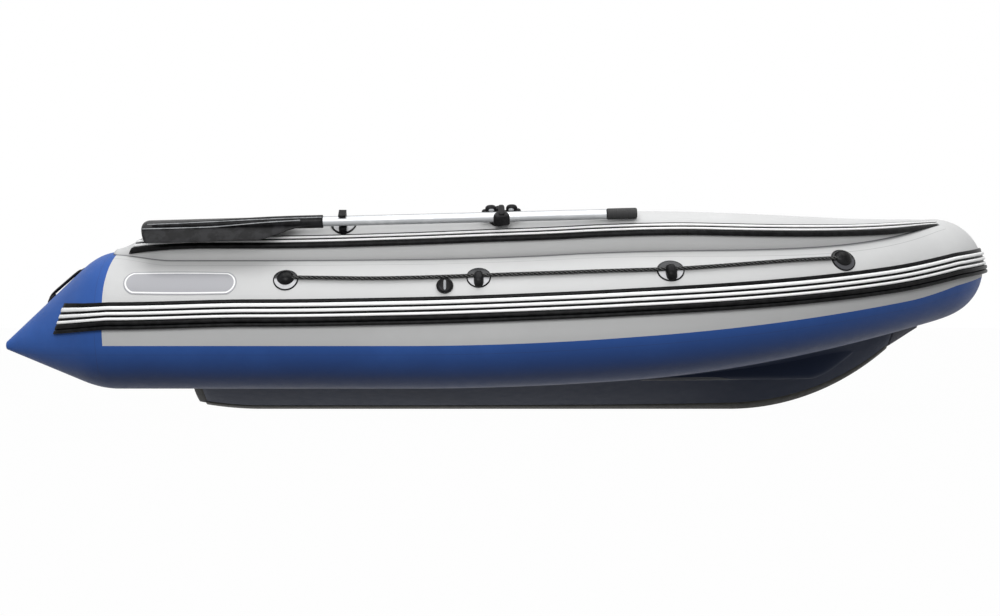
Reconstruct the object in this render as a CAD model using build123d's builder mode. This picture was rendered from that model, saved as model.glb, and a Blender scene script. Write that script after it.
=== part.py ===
from build123d import *
import math
import os

# Inflatable rowing boat. Millimetres, +X to the bow, +Y to port, +Z up.
# The origin is below the middle of the boat, on the underside of the keel.

os.makedirs("parts", exist_ok=True)

# Main tube, a horseshoe in plan
tube_radius = 240
tube_axis_y = 650  # tube axis to the centre plane, along the straight
tube_axis_z = 340  # height of the straight's axis over the keel
tube_aft_x = -1400  # seam where the stern cone starts
straight_length = 1780
shoulder_radius = 1665  # plan radius of the bow's shoulder
shoulder_turn = 41  # degrees turned by the shoulder, the nose turns the rest
nose_tube_radius = 187
sheer_start_x = -400  # aft of here the tubes lie level
sheer_radius = 10080
chamber_split = 2450  # along the tube from the cone seam, where the bow chamber starts
lower_edge_side = -21  # polar angles of the blue underside's two edges
lower_edge_nose = -8
lower_edge_inner = -125

# Stern cones
cone_length = 396
cone_slope = 0.671
cone_round_length = 122  # the tube turns in to the cone over this length
cone_drop_share = 0.39  # the axis drops so that the underside stays flatter
cone_tip_fillet = 7

# Bulwark tube, on the main tube's outboard shoulder
bulwark_radius = 86
bulwark_end_radius = 28
bulwark_out = 45  # outboard of the main axis
bulwark_bow_out = 30  # further outboard round the bow
bulwark_rise_aft = 250  # above the main axis
bulwark_rise_mid = 269
bulwark_bow_sink = 108
bulwark_aft_taper = 215
bulwark_aft_s = -14
bulwark_sink_s = 1620
bulwark_sink_length = 1230
bulwark_end_s = 3030

# Rub strakes, rubber profiles glued along the tubes
strake_height = 92
strake_depth = 18
strake_aft_s = -182
strake_joint_gap = 0.3
strake_sink = 4  # how far a strake's outline starts inside the tube that cuts it
# depths of its valleys and its upper ridges, as shares of the lowest ridge's
strake_valley_share = 0.45
strake_ridge_share = 0.72
bulwark_strake_height = 44
bulwark_strake_depth = 16
bulwark_strake_aft_s = 40
bulwark_strake_end_s = 2960
bulwark_strake_angle = 13

glue_line = 0.4  # between the tubes and what is fitted between them

# Inflated hull bottom
hull_aft_x = -1180
stern_panel_length = 34
keel_half_width = 90
keel_bow_half_width = 26
keel_front_half_width = 10
keel_strip_thickness = 4
keel_strip_side = 60
strip_glue_line = 1
keel_rocker_start_x = 800
stem_radius = 930
hull_front_x = 1410
fairing_front_x = 1530
stern_rocker_start_x = -970
stern_rocker_rise = 23
hull_top_z = 120
hull_top_bow_z = 285
fairing_slope = 0.62
hull_rim_run = 26
skirt_sink = 8  # how far the bottom's outline starts inside the tubes that cut it
hull_rim_angle = -140  # polar angle on the tube where the bottom's inner rim ends
hull_skirt_angle = -114  # polar angle where its outer skin meets the tube
chine_share = 0.8
chine_rise_share = 0.3
bulge_out = 0.18  # the belly between chine and skirt, as shares of that leg
bulge_up = 0.36

# Cockpit
floor_thickness = 70
floor_front_x = 1010
floor_edge_gap = 6
floor_nose_length = 330
floor_aft_gap = 4
floor_edge_round = 14
transom_aft_x = -1195
transom_thickness = 35
transom_top_z = 505
transom_corner = 70
pad_width = 300
pad_height = 210
pad_thickness = 10
drain_radius = 24
bench_width = 220
bench_thickness = 26
bench_aft_s = 700
bench_front_s = 1500
rail_angle = 137
rail_stand_off = 24
rail_radius = 10
rail_length = 500
rail_pad_width = 56
rail_pad_thickness = 5
rail_web = 8
bench_clip_wall = 8
bench_clip_length = 160
bench_clip_tongue = 50
bench_corner = 30
rail_slot_clearance = 3
pad_corner = 25
drain_proud = 9
drain_y = 230
drain_z = 190
drain_cap_share = 0.66

# Oars, rowlocks and oar clips
rowlock_x = -62
pin_angle = 60  # polar angle of the rowlock pin round the bulwark tube
pin_radius = 7
pin_clearance = 0.05
rowlock_base_radius = 36
rowlock_base_height = 2.5  # above the bulwark tube
rowlock_base_root = 30  # below its top, down into the tube that cuts it
rowlock_boss_radius = 19
rowlock_running_gap = 1.2
pin_cap_radius = 13
pin_cap_height = 9
yoke_half_length = 66
yoke_top_half_length = 34
yoke_thickness = 30
yoke_height = 34
yoke_bump_radius = 9
yoke_toe = 6  # height of the yoke's ends
yoke_shoulder_drop = 4  # below its bumps' tops
yoke_saddle_drop = 8
clamp_corner = 8
oar_arm = 44  # shaft axis from the pin axis
oar_lift = 120  # shaft axis from the bulwark axis, along the pin
oar_pitch = 0.5  # degrees the shaft rises aft of square to the pin
shaft_radius = 17.5
clamp_length = 57
clamp_wall = 4
shaft_aft = 690  # aft of the rowlock, inside the sleeve
shaft_forward = 370
sleeve_start = 603
sleeve_radius = 22
blade_length = 1230  # rowlock to the blade's tip
blade_full_start = 1030
blade_root = 640
blade_half_width = 85
blade_root_half_width = 22
blade_crown = 20
blade_thickness = 6
blade_rib_tip_radius = 8
grip_radius = 19.5
grip_length = 106
clip_x = -610
clip_patch_radius = 44
clip_patch_thickness = 3
clip_length = 26
clip_clearance = 5
clip_wall = 6
clip_reach = 14  # jaws past the shaft's axis

# Fittings on the tubes
valve_x = -255
valve_angle = 29
valve_radius = 29
valve_proud = 6
valve_cap_share = 0.62
eye_radius = 43
eye_thickness = 3
eye_dome_radius = 20
eye_dome_height = 19
eye_loop_width = 26
eye_loop_wall = 6
rope_radius = 6.5
rope_lift = 10  # rope's axis over the tube
rope_eye_clearance = 3.5
handle_upper_s = -104
handle_length = 136
handle_stand_off = 24
handle_radius = 9
handle_grip_radius = 13
handle_grip_length = 58
handle_bend = 14
slide_clearance = 1


def blend(s, *stations):
    """Value at s, eased smoothly between (s, value) stations."""
    if s <= stations[0][0]:
        return stations[0][1]
    for (s0, v0), (s1, v1) in zip(stations, stations[1:]):
        if s <= s1:
            t = (s - s0) / (s1 - s0)
            return v0 + (v1 - v0) * t * t * (3 - 2 * t)
    return stations[-1][1]


# Plan of the tube's centreline: straight, shoulder arc, nose arc to the centre plane
turn = math.radians(shoulder_turn)
shoulder_x = tube_aft_x + straight_length
shoulder_length = shoulder_radius * turn
nose_y = tube_axis_y - shoulder_radius * (1 - math.cos(turn))
nose_radius = nose_y / math.cos(turn)
nose_x = shoulder_x + shoulder_radius * math.sin(turn)
nose_s = straight_length + shoulder_length
bow_s = nose_s + nose_radius * (math.pi / 2 - turn)


def centre(s):
    """x, y and heading of the port tube's axis, s along it from the cone seam."""
    if s <= straight_length:
        return tube_aft_x + s, tube_axis_y, 0.0
    if s <= nose_s:
        a = (s - straight_length) / shoulder_radius
        return (
            shoulder_x + shoulder_radius * math.sin(a),
            tube_axis_y - shoulder_radius * (1 - math.cos(a)),
            a,
        )
    if s <= bow_s:
        a = turn + (s - nose_s) / nose_radius
        return (
            nose_x + nose_radius * (math.sin(a) - math.sin(turn)),
            nose_y - nose_radius * (math.cos(turn) - math.cos(a)),
            a,
        )
    x, y, a = centre(2 * bow_s - s)
    return x, -y, math.pi - a


def s_at(x):
    """Length along the port tube's axis at the station x."""
    if x <= shoulder_x:
        return x - tube_aft_x
    if x <= nose_x:
        return straight_length + shoulder_radius * math.asin((x - shoulder_x) / shoulder_radius)
    a = math.asin(min(1, (x - nose_x) / nose_radius + math.sin(turn)))
    return nose_s + nose_radius * (a - turn)


def radius(s):
    """Main tube's radius at s, the stern cone included where s is negative."""
    s = min(s, 2 * bow_s - s)
    if s >= 0:
        return blend(s, (straight_length, tube_radius), (bow_s, nose_tube_radius))
    round_in = cone_slope / (2 * cone_round_length)
    if -s <= cone_round_length:
        return tube_radius - round_in * s * s
    return tube_radius - cone_slope * (-s - cone_round_length / 2)


def height(s):
    """Height of the main tube's axis at s."""
    rise = max(0, centre(s)[0] - sheer_start_x) ** 2 / (2 * sheer_radius)
    narrowed = tube_radius - min(tube_radius, radius(min(s, 0)))
    return tube_axis_z + rise - cone_drop_share * narrowed


def section(s):
    """Plane across the port tube at s: local x outboard, local y up."""
    x, y, a = centre(s)
    slope = max(0, x - sheer_start_x) / sheer_radius * math.cos(a) if s > 0 else 0
    return Plane(
        origin=(x, y, height(s)),
        x_dir=(math.sin(a), math.cos(a), 0),
        z_dir=(math.cos(a), -math.sin(a), slope),
    )


def stations(first, last, step=170):
    """Evenly spaced places from first to last."""
    count = max(2, math.ceil((last - first) / step) + 1)
    return [first + (last - first) * i / (count - 1) for i in range(count)]


def write(piece, name):
    """Labels a finished piece and writes its STEP file."""
    piece.part.label = name
    export_step(piece.part, f"parts/{name}.step")


def write_pair(piece, name):
    """Writes a port piece and its mirror image to starboard."""
    with BuildPart() as opposite:
        mirror(piece.part, about=Plane.XZ)
    write(piece, name + "_port")
    write(opposite, name + "_starboard")
    return opposite


# ---- Main tube: grey upper and blue lower of each chamber, then the stern cones


def lower_edge(s):
    """Polar angle of the blue underside's outer edge."""
    s = min(s, 2 * bow_s - s)
    return blend(s, (nose_s - 250, lower_edge_side), (bow_s, lower_edge_nose))


def tube_piece(first, last, upper):
    """Upper or lower part of the tube between two places, as one solid."""
    with BuildPart() as piece:
        for s in stations(first, last):
            start = lower_edge(s) if upper else lower_edge_inner
            sweep_angle = lower_edge_inner + 360 - start if upper else lower_edge(s) - start
            with BuildSketch(section(s)):
                with BuildLine():
                    arc = CenterArc((0, 0), radius(s), start, sweep_angle)
                    Line(arc @ 1, arc @ 0)
                make_face()
        loft()
    return piece


port_tubes, starboard_tubes, bow_tubes = [], [], []
for level, upper in (("upper", True), ("lower", False)):
    port_tube = tube_piece(0, chamber_split, upper)
    bow_tube = tube_piece(chamber_split, 2 * bow_s - chamber_split, upper)
    starboard_tubes.append(write_pair(port_tube, f"tube_{level}").part)
    write(bow_tube, f"tube_{level}_bow")
    port_tubes.append(port_tube.part)
    bow_tubes.append(bow_tube.part)

with BuildPart() as stern_cone:
    for s in (-cone_length, -300, -210, -cone_round_length, -60, 0):
        with BuildSketch(section(s)):
            Circle(radius(s))
    loft()
    fillet(stern_cone.faces().sort_by(Axis.X)[0].edges(), cone_tip_fillet)
starboard_cone = write_pair(stern_cone, "stern_cone")

# What sits on the port side or the bow is cut to the tubes' shape
port_hull = port_tubes + bow_tubes + [stern_cone.part]

# What sits between the tubes is cut by these tubes, a glue line larger
inner_cutters = []
for first, last in ((0, chamber_split), (chamber_split, 2 * bow_s - chamber_split)):
    with BuildPart() as cutter:
        for s in stations(first, last):
            with BuildSketch(section(s)):
                Circle(radius(s) + glue_line)
        loft()
    inner_cutters.append(cutter.part)


# ---- Bulwark tube


def bulwark_centre(s):
    """Local outboard and upward place of the bulwark tube's axis at s."""
    sink = blend(s, (bulwark_sink_s, 0), (bulwark_sink_s + bulwark_sink_length, bulwark_bow_sink))
    aft_sink = blend(s, (bulwark_aft_s, 30), (bulwark_aft_s + bulwark_aft_taper, 0))
    rise = blend(s, (500, bulwark_rise_aft), (1400, bulwark_rise_mid)) - sink - aft_sink
    along_bow = min(1, max(0, (s - bulwark_sink_s) / (bulwark_end_s - bulwark_sink_s)))
    return bulwark_out + bulwark_bow_out * math.sin(math.pi * along_bow), rise


def bulwark_size(s):
    """Bulwark tube's radius at s, tapered at both ends."""
    start = blend(
        s, (bulwark_aft_s, bulwark_end_radius), (bulwark_aft_s + bulwark_aft_taper, bulwark_radius)
    )
    along_bow = max(0, (s - bulwark_sink_s - 200) / (bulwark_end_s - bulwark_sink_s - 200))
    return start - (bulwark_radius - bulwark_end_radius) * along_bow**3


def bulwark_stations(first, last):
    """Places along the bulwark tube, closer together in its aft taper."""
    taper_end = bulwark_aft_s + bulwark_aft_taper
    if first >= taper_end:
        return stations(first, last)
    return stations(first, taper_end, 45)[:-1] + stations(taper_end, last)


with BuildPart() as bulwark_tube:
    for s in bulwark_stations(bulwark_aft_s, bulwark_end_s):
        with BuildSketch(section(s)):
            with Locations(bulwark_centre(s)):
                Circle(bulwark_size(s))
    loft()
    add(port_hull, mode=Mode.SUBTRACT)
write_pair(bulwark_tube, "bulwark_tube")


# ---- Rub strakes, ridged rubber profiles


def polar(origin, r, angle):
    """Local point at a polar angle in degrees round a tube's centre."""
    a = math.radians(angle)
    return origin[0] + r * math.cos(a), origin[1] + r * math.sin(a)


def strake_profile(origin, r, angle, tall, deep, ridges):
    """Closed outline of a strake: a ridged face, and a back that the tube then cuts."""
    pitch = tall / ridges
    back = [(-strake_sink, tall / 2), (-strake_sink, 0), (-strake_sink, -tall / 2)]
    valley = deep * strake_valley_share
    face = [(valley, -tall / 2)]
    for i in range(ridges):
        low = -tall / 2 + i * pitch
        out = deep if i == 0 else deep * strake_ridge_share
        face += [(out, low + pitch * 0.22), (out, low + pitch * 0.74)]
        if i < ridges - 1:
            face.append((valley, low + pitch))
    face.append((deep * 0.3, tall / 2))
    return [polar(origin, r + out, angle + math.degrees(along / r)) for out, along in back + face]


def strake_angle(s):
    """Polar angle of the main strake's middle."""
    s = min(s, 2 * bow_s - s)
    return blend(s, (strake_aft_s, 10), (0, 5), (1400, 9), (2650, 4), (bow_s, 9.6))


def main_strake(first, last):
    """Length of the strake round the main tube."""
    with BuildPart() as piece:
        for s in stations(first, last, 120):
            outline = strake_profile(
                (0, 0), radius(s), strake_angle(s), strake_height, strake_depth, 4
            )
            with BuildSketch(section(s)):
                Polygon(*outline, align=None)
        loft()
        add(port_hull + starboard_tubes, mode=Mode.SUBTRACT)
    return piece


write_pair(main_strake(strake_aft_s, chamber_split), "rub_strake")
write(
    main_strake(chamber_split + strake_joint_gap, 2 * bow_s - chamber_split - strake_joint_gap),
    "rub_strake_bow",
)

with BuildPart() as bulwark_strake:
    for s in stations(bulwark_strake_aft_s, bulwark_strake_end_s, 150):
        fade = blend(s, (bulwark_strake_end_s - 500, 1), (bulwark_strake_end_s, 0.45))
        outline = strake_profile(
            bulwark_centre(s),
            bulwark_size(s),
            blend(s, (2000, bulwark_strake_angle), (bulwark_strake_end_s, 40)),
            bulwark_strake_height * fade,
            bulwark_strake_depth * fade,
            2,
        )
        with BuildSketch(section(s)):
            Polygon(*outline, align=None)
    loft()
    add(port_hull + [bulwark_tube.part], mode=Mode.SUBTRACT)
write_pair(bulwark_strake, "bulwark_strake")


# ---- Inflated hull bottom, between the tubes and below them


def keel_z(x):
    """Height of the keel strip's underside."""
    if x < stern_rocker_start_x:
        reach = stern_rocker_start_x - (hull_aft_x - stern_panel_length)
        return stern_rocker_rise * ((stern_rocker_start_x - x) / reach) ** 2
    run = max(0, min(x, hull_front_x) - keel_rocker_start_x)
    rise = stem_radius - math.sqrt(stem_radius**2 - run**2)
    return rise + fairing_slope * max(0, x - hull_front_x)


def keel_drop(x):
    """Upright thickness of the keel strip, which is a set thickness square to the keel."""
    run = max(0, min(x, hull_front_x) - keel_rocker_start_x)
    return keel_strip_thickness / math.cos(math.asin(run / stem_radius))


def tube_point(x, angle, sink=0):
    """y and z of a point on the port tube in the upright plane at x."""
    s = s_at(x)
    y, a = centre(s)[1:]
    out, up = polar((0, 0), radius(s) - sink, angle)
    return y + out / math.cos(a), height(s) + up


def bottom_corners(x):
    """Corners of the bottom's port half, from the keel round to the cockpit side."""
    half_width = blend(
        x,
        (keel_rocker_start_x, keel_half_width),
        (hull_front_x, keel_bow_half_width),
        (fairing_front_x, keel_front_half_width),
    )
    low = keel_z(x) + keel_drop(x)
    skirt = tube_point(x, hull_skirt_angle, skirt_sink)
    rim = tube_point(x, hull_rim_angle, skirt_sink)
    chine = (
        half_width + chine_share * (skirt[0] - half_width),
        low + chine_rise_share * (skirt[1] - low),
    )
    rim = (max(rim[0], skirt[0] * 0.6), rim[1])
    top = blend(x, (floor_front_x + 60, hull_top_z), (hull_front_x, hull_top_bow_z))
    top += max(0, keel_z(x) - keel_z(hull_front_x))
    return half_width, low, chine, skirt, rim, (max(rim[0] - hull_rim_run, skirt[0] * 0.4), top)


def bottom_piece(first, last, step):
    """Length of the hull bottom, lofted as a port half and mirrored."""
    with BuildPart() as piece:
        for x in stations(first, last, step):
            half_width, low, chine, skirt, rim, floor_edge = bottom_corners(x)
            bulge = (
                skirt[0] - bulge_out * (skirt[0] - chine[0]),
                chine[1] + bulge_up * (skirt[1] - chine[1]),
            )
            with BuildSketch(Plane((x, 0, 0), x_dir=(0, 1, 0), z_dir=(1, 0, 0))):
                with BuildLine():
                    Polyline((0, floor_edge[1]), (0, low), (half_width, low), chine)
                    ThreePointArc(chine, bulge, skirt)
                    Polyline(skirt, rim, floor_edge, (0, floor_edge[1]))
                make_face()
        loft()
        add(inner_cutters, mode=Mode.SUBTRACT)
        mirror(about=Plane.XZ)
    return piece


panel_aft_x = hull_aft_x - stern_panel_length
stern_bottom_panel = bottom_piece(panel_aft_x, hull_aft_x, stern_panel_length)
hull_bottom = bottom_piece(hull_aft_x, hull_front_x, 100)
bow_fairing = bottom_piece(hull_front_x, fairing_front_x, 60)
write(stern_bottom_panel, "stern_bottom_panel")
write(hull_bottom, "hull_bottom")
write(bow_fairing, "bow_fairing")

with BuildPart() as keel_strip:
    for x in stations(hull_aft_x, hull_front_x, 100):
        half_width, low, chine = bottom_corners(x)[:3]
        low -= strip_glue_line
        side_slope = (chine[1] - low) / (chine[0] - half_width)
        side = keel_strip_side * half_width / keel_half_width
        up = side_slope * side
        drop = keel_drop(x) - strip_glue_line
        outline = [(0, low), (0, low - drop), (half_width, low - drop)]
        outline += [(half_width + side, low - drop + up), (half_width + side, low + up)]
        outline.append((half_width, low))
        with BuildSketch(Plane((x, 0, 0), x_dir=(0, 1, 0), z_dir=(1, 0, 0))):
            Polygon(*outline, align=None)
    loft()
    mirror(about=Plane.XZ)
write(keel_strip, "keel_strip")


# ---- Cockpit: inflated floor, transom, sliding bench seats

transom_front_x = transom_aft_x + transom_thickness

with BuildPart() as cockpit_floor:
    floor_aft_x = transom_front_x + floor_aft_gap
    nose_start = floor_front_x - floor_nose_length
    nose_places = [nose_start + floor_nose_length * f for f in (0.4, 0.7, 0.88, 0.97, 1)]
    for x in stations(floor_aft_x, nose_start, 200) + nose_places:
        nose = max(0, (x - nose_start) / floor_nose_length)
        half = (bottom_corners(x)[5][0] - floor_edge_gap) * math.sqrt(1 - 0.92 * nose * nose)
        low, high, cut = hull_top_z + glue_line, hull_top_z + floor_thickness, floor_edge_round
        outline = [(0, low), (half - cut, low), (half, low + cut), (half, high - cut)]
        outline += [(half - cut, high), (0, high)]
        with BuildSketch(Plane((x, 0, 0), x_dir=(0, 1, 0), z_dir=(1, 0, 0))):
            Polygon(*outline, align=None)
    loft()
    add(inner_cutters, mode=Mode.SUBTRACT)
    mirror(about=Plane.XZ)
write(cockpit_floor, "cockpit_floor")

with BuildPart() as transom:
    rim, floor_edge = bottom_corners(transom_front_x)[4:]
    beyond = tube_axis_y - 150
    outline = [(0, hull_top_z + glue_line)]
    outline += [(y - glue_line, z + glue_line) for y, z in (floor_edge, rim)]
    outline += [(beyond, rim[1] + glue_line), (beyond, transom_top_z), (0, transom_top_z)]
    with BuildSketch(Plane((transom_aft_x, 0, 0), x_dir=(0, 1, 0), z_dir=(1, 0, 0))):
        Polygon(*outline, align=None)
    extrude(amount=transom_thickness)
    top_corner = transom.edges().filter_by(Axis.X).group_by(Axis.Z)[-1].sort_by(Axis.Y)[-1]
    fillet(top_corner, transom_corner)
    add(inner_cutters, mode=Mode.SUBTRACT)
    mirror(about=Plane.XZ)
write(transom, "transom")

pad_places = (
    ("transom_outer_pad", transom_aft_x - pad_thickness, 0),
    ("transom_inner_pad", transom_front_x, 8),
)
for pad_name, pad_x, lower in pad_places:
    with BuildPart() as pad:
        pad_top = Plane((pad_x, 0, transom_top_z - lower), x_dir=(0, 1, 0), z_dir=(1, 0, 0))
        with BuildSketch(pad_top):
            with Locations((0, -pad_height / 2)):
                RectangleRounded(pad_width, pad_height, pad_corner)
        extrude(amount=pad_thickness)
    write(pad, pad_name)

with BuildPart() as drain_valve:
    drain_plane = Plane((transom_aft_x, drain_y, drain_z), x_dir=(0, 1, 0), z_dir=(-1, 0, 0))
    with BuildSketch(drain_plane):
        Circle(drain_radius)
    extrude(amount=drain_proud / 2)
    with BuildSketch(drain_plane):
        Circle(drain_radius * drain_cap_share)
    extrude(amount=drain_proud)
write(drain_valve, "drain_valve")


def bench(s, name):
    """Bench seat across the cockpit at s, its clips, and the rails it slides on."""
    across = section(s)
    place = polar((0, 0), tube_radius + rail_stand_off, rail_angle)
    bore = rail_radius + slide_clearance
    clip_radius = bore + bench_clip_wall
    clip_bottom = place[1] - clip_radius
    plank_bottom = clip_bottom + bench_clip_wall
    web_middle = polar((0, 0), tube_radius + rail_stand_off / 2, rail_angle)
    pad_middle = polar((0, 0), tube_radius, rail_angle)

    with BuildPart() as rails:
        with BuildSketch(across.offset(-rail_length / 2)):
            with Locations(place):
                Circle(rail_radius)
            with Locations(Location(web_middle, rail_angle)):
                Rectangle(rail_stand_off, rail_web)
            with Locations(Location(pad_middle, rail_angle)):
                Rectangle(2 * rail_pad_thickness, rail_pad_width)
        extrude(amount=rail_length)
        add(port_hull, mode=Mode.SUBTRACT)
        mirror(about=Plane.XZ)
    write(rails, f"seat_rails_{name}")

    with BuildPart() as clips:
        with BuildSketch(across.offset(-bench_clip_length / 2)):
            with Locations(place):
                Circle(clip_radius)
            with Locations((place[0] - bench_clip_tongue / 2, clip_bottom + bench_clip_wall / 2)):
                Rectangle(bench_clip_tongue, bench_clip_wall)
            with Locations(place):
                Circle(bore, mode=Mode.SUBTRACT)
            slot_middle = polar((0, 0), tube_radius + rail_stand_off - clip_radius, rail_angle)
            with Locations(Location(slot_middle, rail_angle)):
                slot_width = rail_web + 2 * rail_slot_clearance
                Rectangle(2 * clip_radius, slot_width, mode=Mode.SUBTRACT)
        extrude(amount=bench_clip_length)
        mirror(about=Plane.XZ)
    write(clips, f"bench_clips_{name}")

    half_length = tube_axis_y + place[0] - clip_radius - slide_clearance
    with BuildPart() as plank:
        upright = Plane(
            origin=across.from_local_coords((-tube_axis_y, plank_bottom, 0)),
            x_dir=(0, 1, 0),
            z_dir=across.y_dir,
        )
        with BuildSketch(upright):
            RectangleRounded(2 * half_length, bench_width, bench_corner)
        extrude(amount=bench_thickness)
        fillet(plank.faces().sort_by(Axis.Z)[-1].edges(), bench_thickness / 4)
    write(plank, f"bench_{name}")


bench(bench_aft_s, "aft")
bench(bench_front_s, "front")


# ---- Rowlocks: a pin that leans outboard, with a yoke that turns on it and clamps the oar

rowlock_s = s_at(rowlock_x)


def pin_plane(s):
    """Plane at the bulwark's axis: local x forward, local y outboard, z up along the pin."""
    across = section(s)
    out, up = polar((0, 0), 1, pin_angle)
    return Plane(
        origin=across.from_local_coords((*bulwark_centre(s), 0)),
        x_dir=across.z_dir,
        z_dir=across.x_dir * out + across.y_dir * up,
    )


pin = pin_plane(rowlock_s)
base_top = bulwark_size(rowlock_s) + rowlock_base_height
yoke_bottom = base_top + 2 * rowlock_running_gap
yoke_top = yoke_bottom + yoke_height

with BuildPart() as rowlock_base:
    with BuildSketch(pin.offset(base_top - rowlock_base_root)):
        Circle(rowlock_base_radius)
    extrude(amount=rowlock_base_root)
    fillet(rowlock_base.faces().sort_by(SortBy.DISTANCE)[-1].edges(), rowlock_base_height / 3)
    with BuildSketch(pin.offset(base_top)):
        Circle(rowlock_boss_radius)
    extrude(amount=rowlock_running_gap)
    with BuildSketch(pin.offset(base_top)):
        Circle(pin_radius)
    extrude(amount=yoke_top + rowlock_running_gap - base_top)
    with BuildSketch(pin.offset(yoke_top + rowlock_running_gap)):
        Circle(pin_cap_radius)
    extrude(amount=pin_cap_height)
    fillet(rowlock_base.edges().group_by(Axis.Z)[-1], pin_cap_height / 3)
    add(bulwark_tube, mode=Mode.SUBTRACT)
write_pair(rowlock_base, "rowlock_base")

lean = math.radians(oar_pitch)
oar_plane = Plane(
    origin=pin.from_local_coords((0, oar_arm, oar_lift)),
    x_dir=pin.y_dir,
    z_dir=pin.x_dir * math.cos(lean) - pin.z_dir * math.sin(lean),
)

with BuildPart() as rowlock_yoke:
    side = Plane(
        origin=pin.from_local_coords((0, -yoke_thickness / 2, 0)), x_dir=-pin.x_dir, z_dir=pin.y_dir
    )
    with BuildSketch(side):
        Polygon(
            (-yoke_half_length, yoke_bottom),
            (yoke_half_length, yoke_bottom),
            (yoke_half_length, yoke_bottom + yoke_toe),
            (yoke_top_half_length, yoke_top - yoke_shoulder_drop),
            (0, yoke_top - yoke_saddle_drop),
            (-yoke_top_half_length, yoke_top - yoke_shoulder_drop),
            (-yoke_half_length, yoke_bottom + yoke_toe),
            align=None,
        )
        with Locations(
            (-yoke_top_half_length + yoke_bump_radius, yoke_top - yoke_bump_radius),
            (yoke_top_half_length - yoke_bump_radius, yoke_top - yoke_bump_radius),
        ):
            Circle(yoke_bump_radius)
    extrude(amount=yoke_thickness)
    with BuildSketch(pin.offset(yoke_bottom)):
        clamp_back = yoke_thickness / 2 - 1
        clamp_front = oar_arm + shaft_radius + clamp_wall
        with Locations((0, (clamp_back + clamp_front) / 2)):
            RectangleRounded(clamp_length, clamp_front - clamp_back, clamp_corner)
    extrude(amount=oar_lift + shaft_radius + clamp_wall - yoke_bottom)
    with BuildSketch(pin):
        Circle(pin_radius + pin_clearance)
    extrude(amount=2 * oar_lift, mode=Mode.SUBTRACT)
    with BuildSketch(oar_plane.offset(-2 * clamp_length)):
        Circle(shaft_radius)
    extrude(amount=4 * clamp_length, mode=Mode.SUBTRACT)
write_pair(rowlock_yoke, "rowlock_yoke")


# ---- Oars

with BuildPart() as oar_shaft:
    with BuildSketch(oar_plane.offset(-shaft_aft)):
        Circle(shaft_radius)
    extrude(amount=shaft_aft + shaft_forward)
write_pair(oar_shaft, "oar_shaft")

with BuildPart() as oar_grip:
    with BuildSketch(oar_plane.offset(shaft_forward)):
        Circle(grip_radius)
    extrude(amount=grip_length)
    fillet(oar_grip.edges(), grip_radius / 3)
write_pair(oar_grip, "oar_grip")


def blade_outline(along):
    """Half width of the blade at a distance aft of the rowlock."""
    t = min(1, (along - blade_root) / (blade_full_start - blade_root))
    return blade_root_half_width + (blade_half_width - blade_root_half_width) * t


with BuildPart() as oar_blade:
    for along in (blade_root, (blade_root + blade_full_start) / 2, blade_full_start, blade_length):
        half = blade_outline(along)
        crown = blade_crown * (half / blade_half_width) ** 2
        with BuildSketch(oar_plane.offset(-along)):
            with BuildLine():
                inner = ThreePointArc((-half, -crown), (0, 0), (half, -crown))
                low = -crown - blade_thickness
                outer = ThreePointArc((-half, low), (0, -blade_thickness), (half, low))
                Line(inner @ 0, outer @ 0)
                Line(inner @ 1, outer @ 1)
            make_face()
    loft(ruled=True)
    tip_edges = oar_blade.faces().sort_by(Axis.X)[0].edges().filter_by(Axis.Z, reverse=True)
    fillet(tip_edges.sort_by(Edge.length)[:2], blade_thickness / 3)
    for along in (sleeve_start, blade_root + 60, blade_full_start, blade_length - 60):
        size = blend(along, (blade_root + 60, sleeve_radius), (blade_length, blade_rib_tip_radius))
        with BuildSketch(oar_plane.offset(-along)):
            Circle(size)
    loft()
    add(oar_shaft, mode=Mode.SUBTRACT)
write_pair(oar_blade, "oar_blade")


# ---- Oar clips: jaws that open outboard, on a patch on the bulwark tube

clip_s = s_at(clip_x)
clip_plane = pin_plane(clip_s)
shaft_here = clip_plane.to_local_coords(oar_plane.from_local_coords((0, 0, clip_x - rowlock_x)))



def jaw_point(across_pin, along_pin):
    """Point in the clip's section of the tube, from distances across and along the pin line."""
    a = math.radians(pin_angle - 90)
    out, up = bulwark_centre(clip_s)
    return (
        out + across_pin * math.cos(a) - along_pin * math.sin(a),
        up + across_pin * math.sin(a) + along_pin * math.cos(a),
    )


with BuildPart() as oar_clip:
    with BuildSketch(clip_plane):
        Circle(clip_patch_radius)
    extrude(amount=bulwark_radius * 1.5)
    with BuildSketch(section(clip_s).offset(-clip_patch_radius * 1.5)):
        with Locations(bulwark_centre(clip_s)):
            Circle(bulwark_size(clip_s) + clip_patch_thickness)
    extrude(amount=clip_patch_radius * 3, mode=Mode.INTERSECT)
    gap = shaft_radius + clip_clearance
    low = bulwark_size(clip_s) - 12
    with BuildSketch(section(clip_s).offset(-clip_length / 2)):
        back = shaft_here.Y - gap
        front = shaft_here.Y + clip_reach
        top = shaft_here.Z + gap
        corners = [
            (back - clip_wall, low),
            (front - 24, low),
            (front, shaft_here.Z - gap),
            (back, shaft_here.Z - gap),
            (back, top),
            (front, top),
            (front, top + clip_wall),
            (back - clip_wall, top + clip_wall),
        ]
        Polygon(*[jaw_point(*corner) for corner in corners], align=None)
    extrude(amount=clip_length)
    add(bulwark_tube, mode=Mode.SUBTRACT)
write_pair(oar_clip, "oar_clip")


# ---- Valves, rope eyes, lifelines and stern handles


def surface_plane(s, angle):
    """Plane on the port tube's surface: local z outwards, local x forward."""
    across = section(s)
    point = polar((0, 0), radius(s), angle)
    out = polar((0, 0), 1, angle)
    return Plane(
        origin=across.from_local_coords((*point, 0)),
        x_dir=across.z_dir,
        z_dir=across.x_dir * out[0] + across.y_dir * out[1],
    )


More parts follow.
